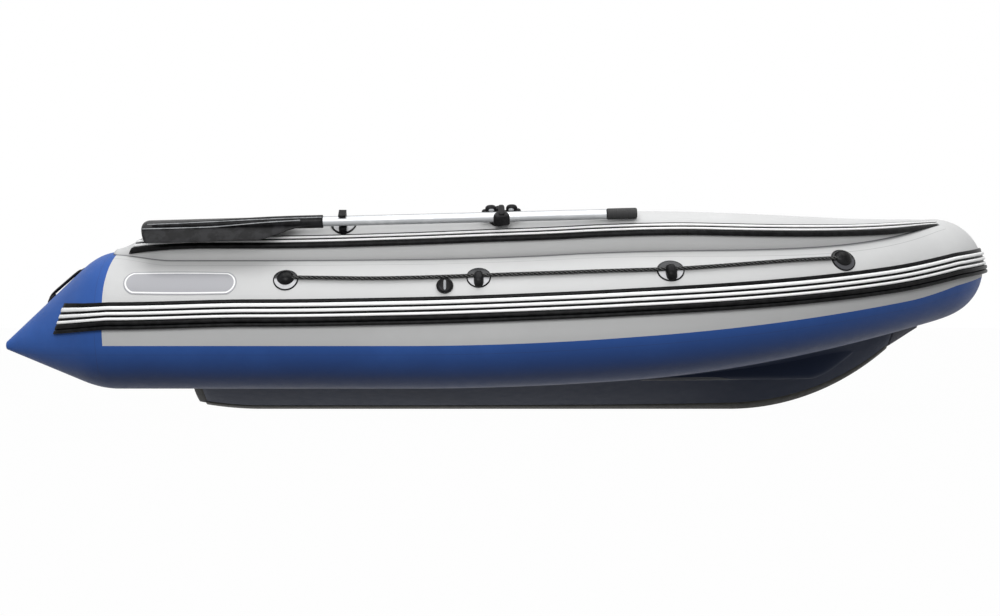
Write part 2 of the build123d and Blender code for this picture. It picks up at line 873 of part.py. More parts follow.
with BuildPart() as port_valve:
    valve_face = surface_plane(s_at(valve_x), valve_angle)
    with BuildSketch(valve_face.offset(-valve_proud)):
        Circle(valve_radius)
    extrude(amount=2 * valve_proud)
    with BuildSketch(valve_face.offset(valve_proud)):
        Circle(valve_radius * valve_cap_share)
    extrude(amount=valve_proud / 2)
    add(port_tubes, mode=Mode.SUBTRACT)
with BuildPart() as tube_valves:
    add(port_valve)
    mirror(port_valve.part, about=Plane.XZ)
write(tube_valves, "tube_valves")


def rope_eye(s, angle, domed):
    """Round patch that follows the tube, with a dome for a rope's end or a loop for its way."""
    face = surface_plane(s, angle)
    with BuildPart() as eye:
        with BuildSketch(face.offset(-eye_radius / 2)):
            Circle(eye_radius)
        extrude(amount=eye_radius)
        with BuildSketch(section(s).offset(-eye_radius * 1.2)):
            Circle(radius(s) + eye_thickness)
        extrude(amount=eye_radius * 2.4, mode=Mode.INTERSECT)
        if domed:
            with BuildSketch(face):
                Circle(eye_dome_radius)
            extrude(amount=eye_dome_height, taper=12)
        else:
            hole = rope_radius + rope_eye_clearance
            loop_start = face.from_local_coords((-eye_loop_width / 2, 0, 0))
            across = Plane(loop_start, x_dir=face.y_dir, z_dir=face.x_dir)
            with BuildSketch(across):
                with Locations((0, rope_lift)):
                    Circle(hole + eye_loop_wall)
                with Locations((0, rope_lift / 2)):
                    Rectangle(2 * (hole + eye_loop_wall), rope_lift)
            extrude(amount=eye_loop_width)
            with BuildSketch(across):
                with Locations((0, rope_lift)):
                    Circle(hole)
            extrude(amount=eye_loop_width, mode=Mode.SUBTRACT)
        add(port_tubes + bow_tubes, mode=Mode.SUBTRACT)
    return eye.part


eye_places = ((600, 35.5, True), (1262, 37, False), (1909, 33.1, False), (2540, 28.5, True))
eyes = [rope_eye(*place) for place in eye_places]
with BuildPart() as rope_eyes:
    add(eyes)
write_pair(rope_eyes, "rope_eyes")

# The lifeline's route from eye to eye, with a little slack in its first span
rope_route = [
    (-798, 851, 488),
    (-655, 853, 486),
    (-520, 855, 484),
    (-390, 853, 486),
    (-262, 850, 490),
    (-142, 850, 494),
    (-16, 849, 499),
    (112, 850, 503),
    (241, 852, 508),
    (369, 856, 512),
    (513, 854, 516),
    (652, 837, 525),
    (794, 806, 536),
    (933, 765, 547),
    (1063, 715, 556),
    (1178, 663, 561),
]


def corner_radii(points):
    """Largest gentle arc for each corner of a route."""
    found = []
    for before, at, after in zip(points, points[1:], points[2:]):
        first, second = Vector(at) - Vector(before), Vector(after) - Vector(at)
        half_turn = math.radians(first.get_angle(second)) / 2
        found.append(0.45 * min(first.length, second.length) / math.tan(half_turn))
    return found


rope_bends = corner_radii(rope_route)
print("tightest lifeline bend", round(min(rope_bends)))
with BuildPart() as lifeline:
    with BuildLine() as rope_path:
        FilletPolyline(*rope_route, radius=rope_bends)
    with BuildSketch(Plane(rope_path.line @ 0, z_dir=rope_path.line % 0)):
        Circle(rope_radius)
    sweep()
    rope_volume = math.pi * rope_radius**2 * rope_path.wire().length
    print("lifeline length", round(rope_path.wire().length))
    print("volume share", lifeline.part.volume / rope_volume)
    add(eyes[0], mode=Mode.SUBTRACT)
    add(eyes[-1], mode=Mode.SUBTRACT)
write_pair(lifeline, "lifeline")


def cone_top(s, off):
    """Point above the top line of the port tube or cone."""
    return Vector(centre(s)[0], tube_axis_y, height(s) + radius(s) + off)


with BuildPart() as stern_handle:
    lower_s = handle_upper_s - handle_length
    corners = [cone_top(handle_upper_s + 8, -10), cone_top(handle_upper_s, handle_stand_off)]
    corners += [cone_top(lower_s, handle_stand_off), cone_top(lower_s - 8, -10)]
    with BuildLine() as handle_path:
        FilletPolyline(*corners, radius=handle_bend)
    with BuildSketch(Plane(handle_path.line @ 0, z_dir=handle_path.line % 0)):
        Circle(handle_radius)
    sweep()
    slant = (corners[2] - corners[1]).normalized()
    middle = corners[1] + (corners[2] - corners[1]) * 0.5 - slant * (handle_grip_length / 2)
    with BuildSketch(Plane(middle, z_dir=slant)):
        Circle(handle_grip_radius)
    extrude(amount=handle_grip_length)
    add(stern_cone, mode=Mode.SUBTRACT)
write_pair(stern_handle, "stern_handle")
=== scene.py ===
import functools
import math
import bmesh
import bpy
import numpy as np
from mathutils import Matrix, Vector


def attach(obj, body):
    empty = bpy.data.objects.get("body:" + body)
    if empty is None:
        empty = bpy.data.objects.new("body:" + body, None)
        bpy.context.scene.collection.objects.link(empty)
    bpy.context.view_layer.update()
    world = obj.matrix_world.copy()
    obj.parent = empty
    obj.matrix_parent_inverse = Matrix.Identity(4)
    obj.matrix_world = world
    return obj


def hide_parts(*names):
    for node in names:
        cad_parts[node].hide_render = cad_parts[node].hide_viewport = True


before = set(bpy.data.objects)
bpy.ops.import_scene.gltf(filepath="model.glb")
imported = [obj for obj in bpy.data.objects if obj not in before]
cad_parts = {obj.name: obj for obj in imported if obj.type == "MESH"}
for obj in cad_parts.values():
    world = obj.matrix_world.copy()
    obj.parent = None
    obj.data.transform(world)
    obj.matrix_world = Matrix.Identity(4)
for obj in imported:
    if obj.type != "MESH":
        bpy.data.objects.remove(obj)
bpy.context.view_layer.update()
scene = bpy.context.scene


class Sizes(dict):
    # a dictionary whose values also read as names
    __getattr__ = dict.__getitem__


# the tubes' lines in metres, X to the bow and Y to port; s runs along the main tube from port
boat = Sizes(
    axisY=0.65, axisZ=0.34, aftX=-1.4, straight=1.78, tubeR=0.24, noseR=0.187,
    shoulderR=1.665, shoulderTurn=math.radians(41), sheerX=-0.4, sheerR=10.08,
    coneSlope=0.671, coneRound=0.122, coneDrop=0.39,
    edgeSide=-21, edgeNose=-8, edgeRun=0.25,
    bulwarkAft=-0.014, bulwarkEnd=3.03, bulwarkR=0.086, bulwarkEndR=0.028,
    bulwarkOut=0.045, bulwarkBowOut=0.03, riseFrom=0.5, riseAft=0.25, riseTo=1.4, riseMid=0.269,
    sinkStart=1.62, sinkLength=1.23, bowSink=0.108, aftTaper=0.215, aftSink=0.03, endTaper=0.2,
)
noseStart = boat.straight + boat.shoulderR * boat.shoulderTurn
noseY = boat.axisY - boat.shoulderR * (1 - math.cos(boat.shoulderTurn))
nosePlanR = noseY / math.cos(boat.shoulderTurn)
bowS = noseStart + nosePlanR * (math.pi / 2 - boat.shoulderTurn)


def ease(s, *stations):
    # smooth steps between (place, value) stations, for whole arrays
    s = np.asarray(s, float)
    value = np.full(s.shape, float(stations[0][1]))
    for (s0, v0), (s1, v1) in zip(stations, stations[1:]):
        t = np.clip((s - s0) / (s1 - s0), 0, 1)
        value = value + (v1 - v0) * t * t * (3 - 2 * t)
    return value


def centreLine(s):
    # plan of the tube's axis: straight, shoulder arc, nose arc, then the same mirrored past the bow
    s = np.asarray(s, float)
    past = s > bowS
    m = np.where(past, 2 * bowS - s, s)
    a = np.clip((m - boat.straight) / boat.shoulderR, 0, boat.shoulderTurn)
    b = np.clip((m - noseStart) / nosePlanR, 0, math.pi / 2 - boat.shoulderTurn) + boat.shoulderTurn
    x = boat.aftX + np.minimum(m, boat.straight) + boat.shoulderR * np.sin(a)
    x = x + nosePlanR * (np.sin(b) - math.sin(boat.shoulderTurn))
    y = boat.axisY - boat.shoulderR * (1 - np.cos(a))
    y = y - nosePlanR * (math.cos(boat.shoulderTurn) - np.cos(b))
    heading = np.where(m > noseStart, b, a)
    return x, np.where(past, -y, y), np.where(past, math.pi - heading, heading)


def portSide(s):
    # s of the same place on the port side of the bow
    return np.minimum(s, 2 * bowS - s)


def tubeRadius(s):
    # round on the straight, slimmer to the nose, and aft a rounded shoulder into a straight cone
    m = portSide(s)
    body = ease(m, (boat.straight, boat.tubeR), (bowS, boat.noseR))
    d = np.maximum(-m, 0)
    rounded = boat.tubeR - boat.coneSlope / (2 * boat.coneRound) * d * d
    cone = boat.tubeR - boat.coneSlope * (d - boat.coneRound / 2)
    return np.where(m >= 0, body, np.where(d <= boat.coneRound, rounded, cone))


def axisHeight(s):
    # level aft, then a long sheer arc; the cone's axis drops as it narrows
    m = portSide(s)
    rise = np.maximum(0, centreLine(s)[0] - boat.sheerX) ** 2 / (2 * boat.sheerR)
    narrower = np.where(m < 0, boat.tubeR - tubeRadius(np.minimum(m, 0)), 0)
    return boat.axisZ + rise - boat.coneDrop * narrower


def unit(vectors):
    return vectors / np.linalg.norm(vectors, axis=-1, keepdims=True)


def ringFrame(s):
    # origin, outboard and up directions of the section at s, each an (n, 3) array
    x, y, a = centreLine(s)
    origin = np.stack([x, y, axisHeight(s)], -1)
    slope = np.where(np.asarray(s) > 0, np.maximum(0, x - boat.sheerX) / boat.sheerR * np.cos(a), 0)
    along = unit(np.stack([np.cos(a), -np.sin(a), slope], -1))
    out = np.stack([np.sin(a), np.cos(a), 0 * a], -1)
    return origin, out, np.cross(along, out), along


def bulwarkLine(s):
    # outboard and upward place of the bulwark tube's axis in the section, and its radius
    sink = ease(s, (boat.sinkStart, 0), (boat.sinkStart + boat.sinkLength, boat.bowSink))
    full = boat.bulwarkAft + boat.aftTaper
    aftSink = boat.aftSink - ease(s, (boat.bulwarkAft, 0), (full, boat.aftSink))
    rise = ease(s, (boat.riseFrom, boat.riseAft), (boat.riseTo, boat.riseMid)) - sink - aftSink
    along = np.clip((s - boat.sinkStart) / (boat.bulwarkEnd - boat.sinkStart), 0, 1)
    out = boat.bulwarkOut + boat.bulwarkBowOut * np.sin(math.pi * along)
    size = ease(s, (boat.bulwarkAft, boat.bulwarkEndR), (full, boat.bulwarkR))
    taper = boat.sinkStart + boat.endTaper
    late = np.clip((s - taper) / (boat.bulwarkEnd - taper), 0, 1)
    return out, rise, size - (boat.bulwarkR - boat.bulwarkEndR) * late ** 3


def lowerEdge(s):
    # polar angle of the blue underside's outer seam
    m = portSide(s)
    return np.radians(ease(m, (noseStart - boat.edgeRun, boat.edgeSide), (bowS, boat.edgeNose)))


def circle(count):
    # turns of the points round a ring
    return np.linspace(0, 2 * np.pi, count, endpoint=False)


def corners(grid):
    # the four corners of every cell of a grid, in order round it
    return np.stack([grid[:-1, :-1], grid[1:, :-1], grid[1:, 1:], grid[:-1, 1:]], -1).reshape(-1, 4)


def gridPiece(name, points, attributes=None, uv=None, closed=True):
    # faces join the neighbours in a rows by columns by 3 array; closed joins the last column to
    # the first and caps both end rows; uv is a value per row and one per column edge
    rows, columns = points.shape[:2]
    index = np.arange(rows * columns).reshape(rows, columns)
    caps = []
    if closed:
        caps = [index[0].tolist(), index[-1, ::-1].tolist()]
        index = np.hstack([index, index[:, :1]])
    mesh = bpy.data.meshes.new(name)
    mesh.from_pydata(points.reshape(-1, 3).tolist(), [], corners(index).tolist() + caps)
    if uv is not None:
        u, v = np.meshgrid(uv[0], uv[1][:index.shape[1]], indexing="ij")
        flat = np.stack([corners(u).ravel(), corners(v).ravel()], -1).ravel()
        whole = np.zeros(2 * len(mesh.loops), np.float32)
        whole[:len(flat)] = flat
        mesh.uv_layers.new(name="surface").data.foreach_set("uv", whole)
    for key, values in (attributes or {}).items():
        layer = mesh.attributes.new(key, "FLOAT", "POINT")
        whole = np.broadcast_to(values, (rows, columns)).ravel().astype(np.float32)
        layer.data.foreach_set("value", whole)
    shape = bmesh.new()
    shape.from_mesh(mesh)
    bmesh.ops.recalc_face_normals(shape, faces=shape.faces)
    shape.to_mesh(mesh)
    shape.free()
    mesh.polygons.foreach_set("use_smooth", [True] * len(mesh.polygons))
    mesh.update()
    return placed(name, mesh)


def placed(name, data):
    # a new object in the scene, at the origin
    made = bpy.data.objects.new(name, data)
    scene.collection.objects.link(made)
    return made


def mirrored(piece):
    # the same piece on the starboard side
    mesh = piece.data.copy()
    flat = np.empty(len(mesh.vertices) * 3)
    mesh.vertices.foreach_get("co", flat)
    flat[1::3] *= -1
    mesh.vertices.foreach_set("co", flat)
    mesh.flip_normals()
    return placed(piece.name.removesuffix("Port") + "Starboard", mesh)


def joined(name, parts):
    # one piece from several meshes that share their attributes
    with bpy.context.temp_override(active_object=parts[0], object=parts[0],
                                   selected_objects=parts, selected_editable_objects=parts):
        bpy.ops.object.join()
    parts[0].name = name
    return parts[0]


def dress(piece, material, nodes=(), body="hull"):
    # material, slot, CAD nodes and body of a finished piece
    piece.data.materials.append(material)
    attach(piece, body)
    if nodes:
        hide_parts(*nodes)


def dressBoth(piece, material, part=None, body="hull"):
    # a port piece and its mirror twin; part and body name the side where they end in _
    for shape, side in ((piece, "port"), (mirrored(piece), "starboard")):
        dress(shape, material, [part + side] if part else (),
              body + side if body.endswith("_") else body)


class Wire:
    # one socket, with the operators that the materials use
    def __init__(self, tree, socket):
        self.tree, self.socket = tree, socket

    def node(self, kind, settings=None, output=0, **inputs):
        # any other node: its settings come first, then its inputs by name, or by number after an i
        made = self.tree.nodes.new(kind)
        for key, value in (settings or {}).items():
            setattr(made, key, value)
        for key, value in inputs.items():
            plug(made, int(key[1:]) if key[1:].isdigit() else key.replace("_", " "), value)
        return Wire(self.tree, made.outputs[output])

    def maths(self, operation, other=0.0, swap=False):
        first, second = (other, self) if swap else (self, other)
        return self.node("ShaderNodeMath", dict(operation=operation), i0=first, i1=second)

    def __add__(self, other): return self.maths("ADD", other)
    def __sub__(self, other): return self.maths("SUBTRACT", other)
    def __rsub__(self, other): return self.maths("SUBTRACT", other, True)
    def __mul__(self, other): return self.maths("MULTIPLY", other)
    def __gt__(self, other): return self.maths("GREATER_THAN", other)
    __radd__, __rmul__ = __add__, __mul__

    def absolute(self): return self.maths("ABSOLUTE")
    def sine(self): return self.maths("SINE")
    def greatest(self, other): return self.maths("MAXIMUM", other)
    def least(self, other): return self.maths("MINIMUM", other)

    def ramp(self, low, high, atLow=0.0, atHigh=1.0):
        # a straight run from one value to the other, level outside it
        return self.node("ShaderNodeMapRange", i0=self, i1=low, i2=high, i3=atLow, i4=atHigh)

    def band(self, low, high, soft):
        # 1 between low and high, easing over soft
        return self.ramp(low - soft, low) * self.ramp(high, high + soft, 1.0, 0.0)

    def mix(self, first, second):
        # this wire as the factor between two colours
        return self.node("ShaderNodeMix", dict(data_type="RGBA"), 2, i0=self, i6=first, i7=second)

    def split(self):
        # the three numbers of a vector
        made = self.node("ShaderNodeSeparateXYZ", i0=self).socket.node
        return [Wire(self.tree, socket) for socket in made.outputs]


def plug(node, key, value):
    # a link from a wire, or a plain value, into one socket of a node
    if isinstance(value, Wire):
        value.tree.links.new(value.socket, node.inputs[key])
    else:
        node.inputs[key].default_value = value


class Finish:
    # a new material, with its shader and the sources that patterns start from
    def __init__(self, name):
        self.material = bpy.data.materials.new(name)
        self.material.use_nodes = True
        tree = self.material.node_tree
        self.shader = tree.nodes["Principled BSDF"]
        place = tree.nodes.new("ShaderNodeTexCoord")
        self.object, self.uv = (Wire(tree, place.outputs[kind]) for kind in ("Object", "UV"))

    def attribute(self, name):
        return self.object.node("ShaderNodeAttribute", dict(attribute_name=name), "Fac")

    def noise(self, scale, detail=3.0, rough=0.5, stretch=None, source=None):
        vector = source or self.object
        if stretch:
            vector = vector.node("ShaderNodeMapping", i0=vector, i3=stretch)
        return vector.node("ShaderNodeTexNoise", Vector=vector, Scale=scale, Detail=detail,
                           Roughness=rough)

    def bump(self, height, strength, distance):
        self.set(Normal=height.node("ShaderNodeBump", Height=height, Strength=strength,
                                    Distance=distance))

    def coat(self, colour, scale, vary, rough, shine):
        # a colour whose roughness varies over the surface
        return self.set(Base_Color=colour, Roughness=self.noise(scale) * vary + rough,
                        Specular_IOR_Level=shine)

    def set(self, **values):
        for key, value in values.items():
            plug(self.shader, key.replace("_", " "), value)
        return self.material


def rgb(red, green, blue):
    # a colour as screens show it, turned into linear light
    def linear(c):
        c /= 255
        return c / 12.92 if c <= 0.04045 else ((c + 0.055) / 1.055) ** 2.4
    return linear(red), linear(green), linear(blue), 1.0


# camera, level and square to the starboard side
cameraLook = Sizes(place=(-0.069, -7.5, 0.383), turn=(math.pi / 2, 0, 0), sensor=36.0,
                   focalShare=1.952)
lens = bpy.data.cameras.new("sideCamera")
lens.sensor_width = cameraLook.sensor
lens.lens = cameraLook.sensor * cameraLook.focalShare
camera = placed("sideCamera", lens)
camera.location = cameraLook.place
camera.rotation_euler = cameraLook.turn
scene.camera = camera
print("camera placed")


# colours that several finishes share
lightGrey, deepGrey = rgb(206, 206, 205), rgb(184, 184, 184)
boatBlue, soiledBlue = rgb(58, 98, 172), rgb(44, 76, 140)
# the second blue is painted shade for the main tube's underside
navyBlue, paintedShadeBlue = rgb(40, 49, 70), rgb(40, 50, 78)
# the third colour is the dark of the tube's seam lines and of its painted crease shadow
black, softBlack, seamAndShadowDark = rgb(16, 16, 17), rgb(30, 30, 31), rgb(58, 60, 66)
# the first grey is a painted highlight on the blade ribs, the valve bar and the yoke nuts
# the second grey is a painted reflection on the eye and clip discs' lower halves
highlightGrey, discReflectionGrey = rgb(150, 152, 154), rgb(196, 196, 198)


# coated fabric, in metres on the piece's own uv; the laps' lines lie so far past the underside's
# edge, the cones' seam and the bulwark tubes, and a painted shadow darkens the skin within a set
# reach of the bulwark tube
fabric = Sizes(weavePitch=0.0022, weaveDepth=0.10, billowScale=5.5, billowDepth=3.0, pullDepth=1.6,
               lapDepth=0.35, laps=(0.034, 0.026, 0.0335), line=0.0006, lineSoft=0.0007,
               lineInk=0.42, contact=0.003, contactSoft=0.010, contactInk=0.8)


def fabricGrain(finish, extra, strength):
    # the weave is a product of two sine waves; slow billows and the extra height join its bump
    u, v, w = finish.uv.split()
    turns = 2 * math.pi / fabric.weavePitch
    threads = (u * turns).sine() * (v * turns).sine()
    billow = finish.noise(fabric.billowScale, 2.0) * fabric.billowDepth
    finish.bump(threads * fabric.weaveDepth + billow + extra, strength, 0.002)


def tubeFabric():
    # grey above, blue on the underside and the cones, with taped laps along the panels' edges; the
    # blue darkens towards the underside's bottom as painted shade, and a painted shadow runs along
    # the crease under the bulwark tube
    finish = Finish("tubeFabric")
    reaches = under, cone, crease = [
        finish.attribute(edge + "Reach") for edge in ("underside", "cone", "crease")]
    soil = finish.noise(1.7, 5.0, 0.62).band(0.52, 2.0, 0.2)
    grey = (soil * 0.35).mix(lightGrey, deepGrey)
    blue = (soil * 0.5).mix(boatBlue, soiledBlue)
    # painted shade: the blue turns darker towards the bottom of the underside
    blue = (under.band(0.15, 9.0, 0.15) * 0.8).mix(blue, paintedShadeBlue)
    laps = [reach.band(place, place + fabric.line, fabric.lineSoft)
            for reach, place in zip(reaches, fabric.laps)]
    lines = functools.reduce(Wire.greatest, laps) * fabric.lineInk
    # painted shadow: the tube darkens in a thin strip where the bulwark tube meets it
    contact = crease.band(-1.0, fabric.contact, fabric.contactSoft) * fabric.contactInk
    colour = lines.greatest(contact).mix((under.greatest(cone) > 0.0).mix(grey, blue), seamAndShadowDark)
    step = cone.band(0.0, 1.0, 0.001) + under.band(0.0, 0.5, 0.001)
    step = step + crease.band(-1.0, 0.034, 0.001)
    nearSeam = under.absolute().least(cone.absolute()).least(crease).band(-1.0, 0.02, 0.06)
    pull = finish.noise(1.0, 2.0, 0.5, (26.0, 4.0, 1.0), finish.uv)
    fabricGrain(finish, step * fabric.lapDepth + nearSeam * pull * fabric.pullDepth, 0.3)
    return finish.coat(colour, 30.0, 0.12, 0.42, 0.12)


def plainFabric(name, main, shade, rough=0.5, sheen=0.05):
    finish = Finish(name)
    soil = finish.noise(1.9, 5.0, 0.6).band(0.5, 2.0, 0.22)
    fabricGrain(finish, finish.noise(9.0, 2.0) * 1.4, 0.28)
    return finish.coat((soil * 0.4).mix(main, shade), 28.0, 0.12, rough, sheen)


def strakeRubber(name, bands):
    # black ribbed rubber whose listed bands, in metres up the strake, are white
    finish = Finish(name)
    up = finish.attribute("upStrake")
    pale = functools.reduce(Wire.greatest, [up.band(low, high, 0.0004) for low, high in bands])
    scuff = finish.noise(46.0, 6.0, 0.7).band(0.55, 2.0, 0.1)
    ink = (scuff * 0.6).mix(rgb(9, 9, 10), softBlack)
    chalk = (scuff * 0.3).mix(rgb(252, 252, 251), rgb(232, 232, 230))
    finish.bump(finish.noise(70.0, 2.0), 0.06, 0.001)
    return finish.coat(pale.mix(ink, chalk), 40.0, 0.1, 0.34, 0.08)


def moulded(name, main, worn, rough):
    # moulded plastic or rubber: fine grain, scuffs that lighten it
    finish = Finish(name)
    scuff = finish.noise(22.0, 6.0, 0.68).band(0.56, 2.0, 0.12)
    finish.bump(finish.noise(420.0) + scuff * 0.4, 0.15, 0.001)
    return finish.coat((scuff * 0.55).mix(main, worn), 40.0, 0.16, rough, 0.1)


def paintedReflectionDisc(name, pale, dark):
    # glossy dark disc with a painted reflection: pale on its lower half as if it mirrored the pale
    # floor, dark where it faces the sky
    finish = Finish(name)
    upper = finish.attribute("discUp").band(0.12, 9.0, 0.22)
    return finish.coat(upper.mix(pale, dark), 60.0, 0.1, 0.2, 0.3)


def bareAluminium():
    # drawn tube: fine lines along X and a dull oxide
    finish = Finish("bareAluminium")
    lines = finish.noise(1.0, 4.0, 0.6, (2.0, 520.0, 520.0))
    dull = finish.noise(14.0, 4.0).band(0.5, 2.0, 0.18)
    finish.bump(lines, 0.08, 0.0005)
    return finish.set(Base_Color=(dull * 0.5).mix(rgb(196, 198, 200), rgb(158, 160, 163)),
                      Metallic=1.0, Roughness=lines * 0.16 + dull * 0.12 + 0.24)


def ridgedGrip(pitch=0.006):
    # rings along the oar, a sine wave of X
    finish = Finish("gripRubber")
    x, y, z = finish.object.split()
    finish.bump((x * (2 * math.pi / pitch)).sine(), 0.5, 0.0015)
    return finish.set(Base_Color=(finish.noise(50.0) * 0.5).mix(black, softBlack), Roughness=0.5)


def braidedRope(lay=0.017, pairs=4):
    # a braid on the uv: two families of strands that lean opposite ways, the higher one on top
    finish = Finish("braidedRope")
    u, v, w = finish.uv.split()
    along, around = u * (2 * math.pi / lay), v * (2 * math.pi * pairs)
    one, two = (along + around).sine(), (along - around).sine()
    strand = one.greatest(two)
    fleck = (one > 0.86).greatest(finish.noise(300.0).band(0.62, 2.0, 0.05) * 0.6)
    finish.bump(strand, 0.8, 0.0016)
    # painted shade: darker down between the strands and lighter on their tops
    paintedBraidShade = strand.ramp(0.0, 1.0).mix(rgb(4, 4, 5), rgb(26, 26, 27))
    return finish.set(Base_Color=(fleck * 0.5).mix(paintedBraidShade, rgb(150, 150, 148)), Roughness=0.62,
                      Specular_IOR_Level=0.15)


def plyBoard(name, face, grainColour, rough, grain):
    # painted or varnished board with a long grain along Y
    finish = Finish(name)
    lines = finish.noise(1.0, 5.0, 0.62, (46.0, 2.6, 46.0))
    finish.bump(lines, 0.16, 0.0012)
    return finish.set(Base_Color=(lines.band(0.5, 2.0, 0.14) * grain).mix(face, grainColour),
                      Roughness=lines * 0.2 + rough, Coat_Weight=0.25, Coat_Roughness=0.2)


fabricTube = tubeFabric()
fabricGrey = plainFabric("greyFabric", lightGrey, deepGrey, 0.4, 0.2)
fabricNavy = plainFabric("navyFabric", navyBlue, rgb(34, 41, 60))
fabricBlack = plainFabric("blackFabric", rgb(18, 19, 20), rgb(34, 35, 36))
fabricBow = plainFabric("bowFabric", rgb(70, 72, 84), rgb(56, 58, 70), 0.46)
fabricFloor = plainFabric("floorFabric", rgb(120, 122, 126), rgb(92, 94, 98), sheen=0.2)
plasticBlack = moulded("blackPlastic", black, rgb(44, 44, 46), 0.26)
rubberFitting = moulded("fittingRubber", rgb(14, 14, 15), rgb(40, 40, 42), 0.2)
rubberKeel = moulded("keelRubber", rgb(52, 52, 48), rgb(84, 84, 78), 0.44)
# painted highlight: pale plastic standing for the shine along ribs and edges; its scuffs are wear
paintedHighlightPlastic = moulded("paintedHighlightRib", highlightGrey, rgb(190, 192, 194), 0.25)
# the disc finishes carry a painted reflection of the floor on their lower halves
discPaleReflection = paintedReflectionDisc("paintedReflectionDisc", discReflectionGrey, rgb(44, 45, 47))
discDarkReflection = paintedReflectionDisc("darkPaintedReflectionDisc", rgb(70, 70, 74), rgb(26, 26, 28))
aluminium = bareAluminium()
rubberGrip = ridgedGrip()
rope = braidedRope()
boardBench = plyBoard("benchBoard", rgb(176, 132, 84), rgb(128, 88, 50), 0.32, 0.5)
boardTransom = plyBoard("transomBoard", rgb(74, 77, 82), rgb(58, 60, 64), 0.42, 0.7)
print("finishes made")


# lifelines: the port line's route from eye to eye, the starboard one is its mirror
lifeline = Sizes(radius=0.0065, perSpan=36, around=16, route=[
    (-0.798, 0.851, 0.488), (-0.655, 0.853, 0.486), (-0.52, 0.855, 0.484), (-0.39, 0.853, 0.486),
    (-0.262, 0.85, 0.49), (-0.142, 0.85, 0.494), (-0.016, 0.849, 0.499), (0.112, 0.85, 0.503),
    (0.241, 0.852, 0.508), (0.369, 0.856, 0.512), (0.513, 0.854, 0.516), (0.652, 0.837, 0.525),
    (0.786, 0.808, 0.536), (0.912, 0.772, 0.546), (1.028, 0.73, 0.554), (1.126, 0.688, 0.559)])


def smoothRoute(route, perSpan):
    # points of a NURBS curve that has the route as its control points
    curve = bpy.data.curves.new("smoothRoute", "CURVE")
    curve.dimensions = "3D"
    spline = curve.splines.new("NURBS")
    spline.points.add(len(route) - 1)
    spline.points.foreach_set("co", np.column_stack([route, np.ones(len(route))]).ravel())
    spline.order_u = 3
    spline.use_endpoint_u = True
    spline.resolution_u = perSpan
    holder = bpy.data.objects.new("smoothRoute", curve)
    mesh = bpy.data.meshes.new_from_object(holder)
    flat = np.empty(len(mesh.vertices) * 3)
    mesh.vertices.foreach_get("co", flat)
    bpy.data.objects.remove(holder)
    bpy.data.meshes.remove(mesh)
    return flat.reshape(-1, 3)


def cordTube(name, path, radius, around, flat=1.0):
    # a round tube whose rings stand square to the path, with uv along and around it
    tangent = unit(np.gradient(path, axis=0))
    side = unit(np.cross(tangent, (0, 0, 1.0)))
    up = np.cross(side, tangent)
    a = circle(around)[:, None]
    ring = side[:, None] * np.cos(a) + flat * up[:, None] * np.sin(a)
    steps = np.linalg.norm(np.diff(path, axis=0), axis=1)
    length = np.concatenate([[0], np.cumsum(steps)])
    piece = gridPiece(name, path[:, None] + radius * ring,
                      uv=(length, np.linspace(0, 1, around + 1)))
    return piece, float(length[-1])


portPath = smoothRoute(lifeline.route, lifeline.perSpan)
for side, name in ((1, "Port"), (-1, "Starboard")):
    path = portPath * (1, side, 1)
    cordPiece, cordLength = cordTube("lifeline" + name, path, lifeline.radius, lifeline.around)
    dress(cordPiece, rope, ["lifeline_" + name.lower()])
print("lifelines run", round(cordLength, 3), "m each")


# main tube: one U of fabric with its cone tips
mainTube = Sizes(tip=-0.396, coneRow=0.008, coneEnd=0.02, rowStep=0.014, around=96, tipRings=5,
                 tipReach=0.35, innerEdge=math.radians(-125), coneSeam=-0.019, seamLean=0.023,
                 leanFrom=math.radians(20), leanTo=math.radians(88), farReach=0.3)


def spread(first, last, step):
    return np.linspace(first, last, int(round((last - first) / step)) + 1)


def surfaceAt(s, turn, lift=0.0):
    # point on the main tube: s along it, turn round it from outboard towards up, lift off the skin
    s, turn = np.broadcast_arrays(s, turn)
    origin, out, up, along = ringFrame(s)
    r = (tubeRadius(s) + lift)[..., None]
    return origin + r * (out * np.cos(turn)[..., None] + up * np.sin(turn)[..., None])


def domed(points, rows, rings, reach):
    # a dome on each end of a tube: rings shrink by the cosine and move out by the sine
    a = np.linspace(0, np.pi / 2, rings + 1)[1:, None, None]
    ends = []
    for end, way in ((0, -reach), (-1, reach)):
        centre = points[end].mean(0)
        spokes = points[end] - centre
        swell = way * np.linalg.norm(spokes[0]) * ringFrame(rows[[end]])[3]
        ends.append(centre + spokes * np.maximum(np.cos(a), 0.02) + swell * np.sin(a))
    return (np.concatenate([ends[0][::-1], points, ends[1]]),
            np.concatenate([np.full(rings, rows[0]), rows, np.full(rings, rows[-1])]))


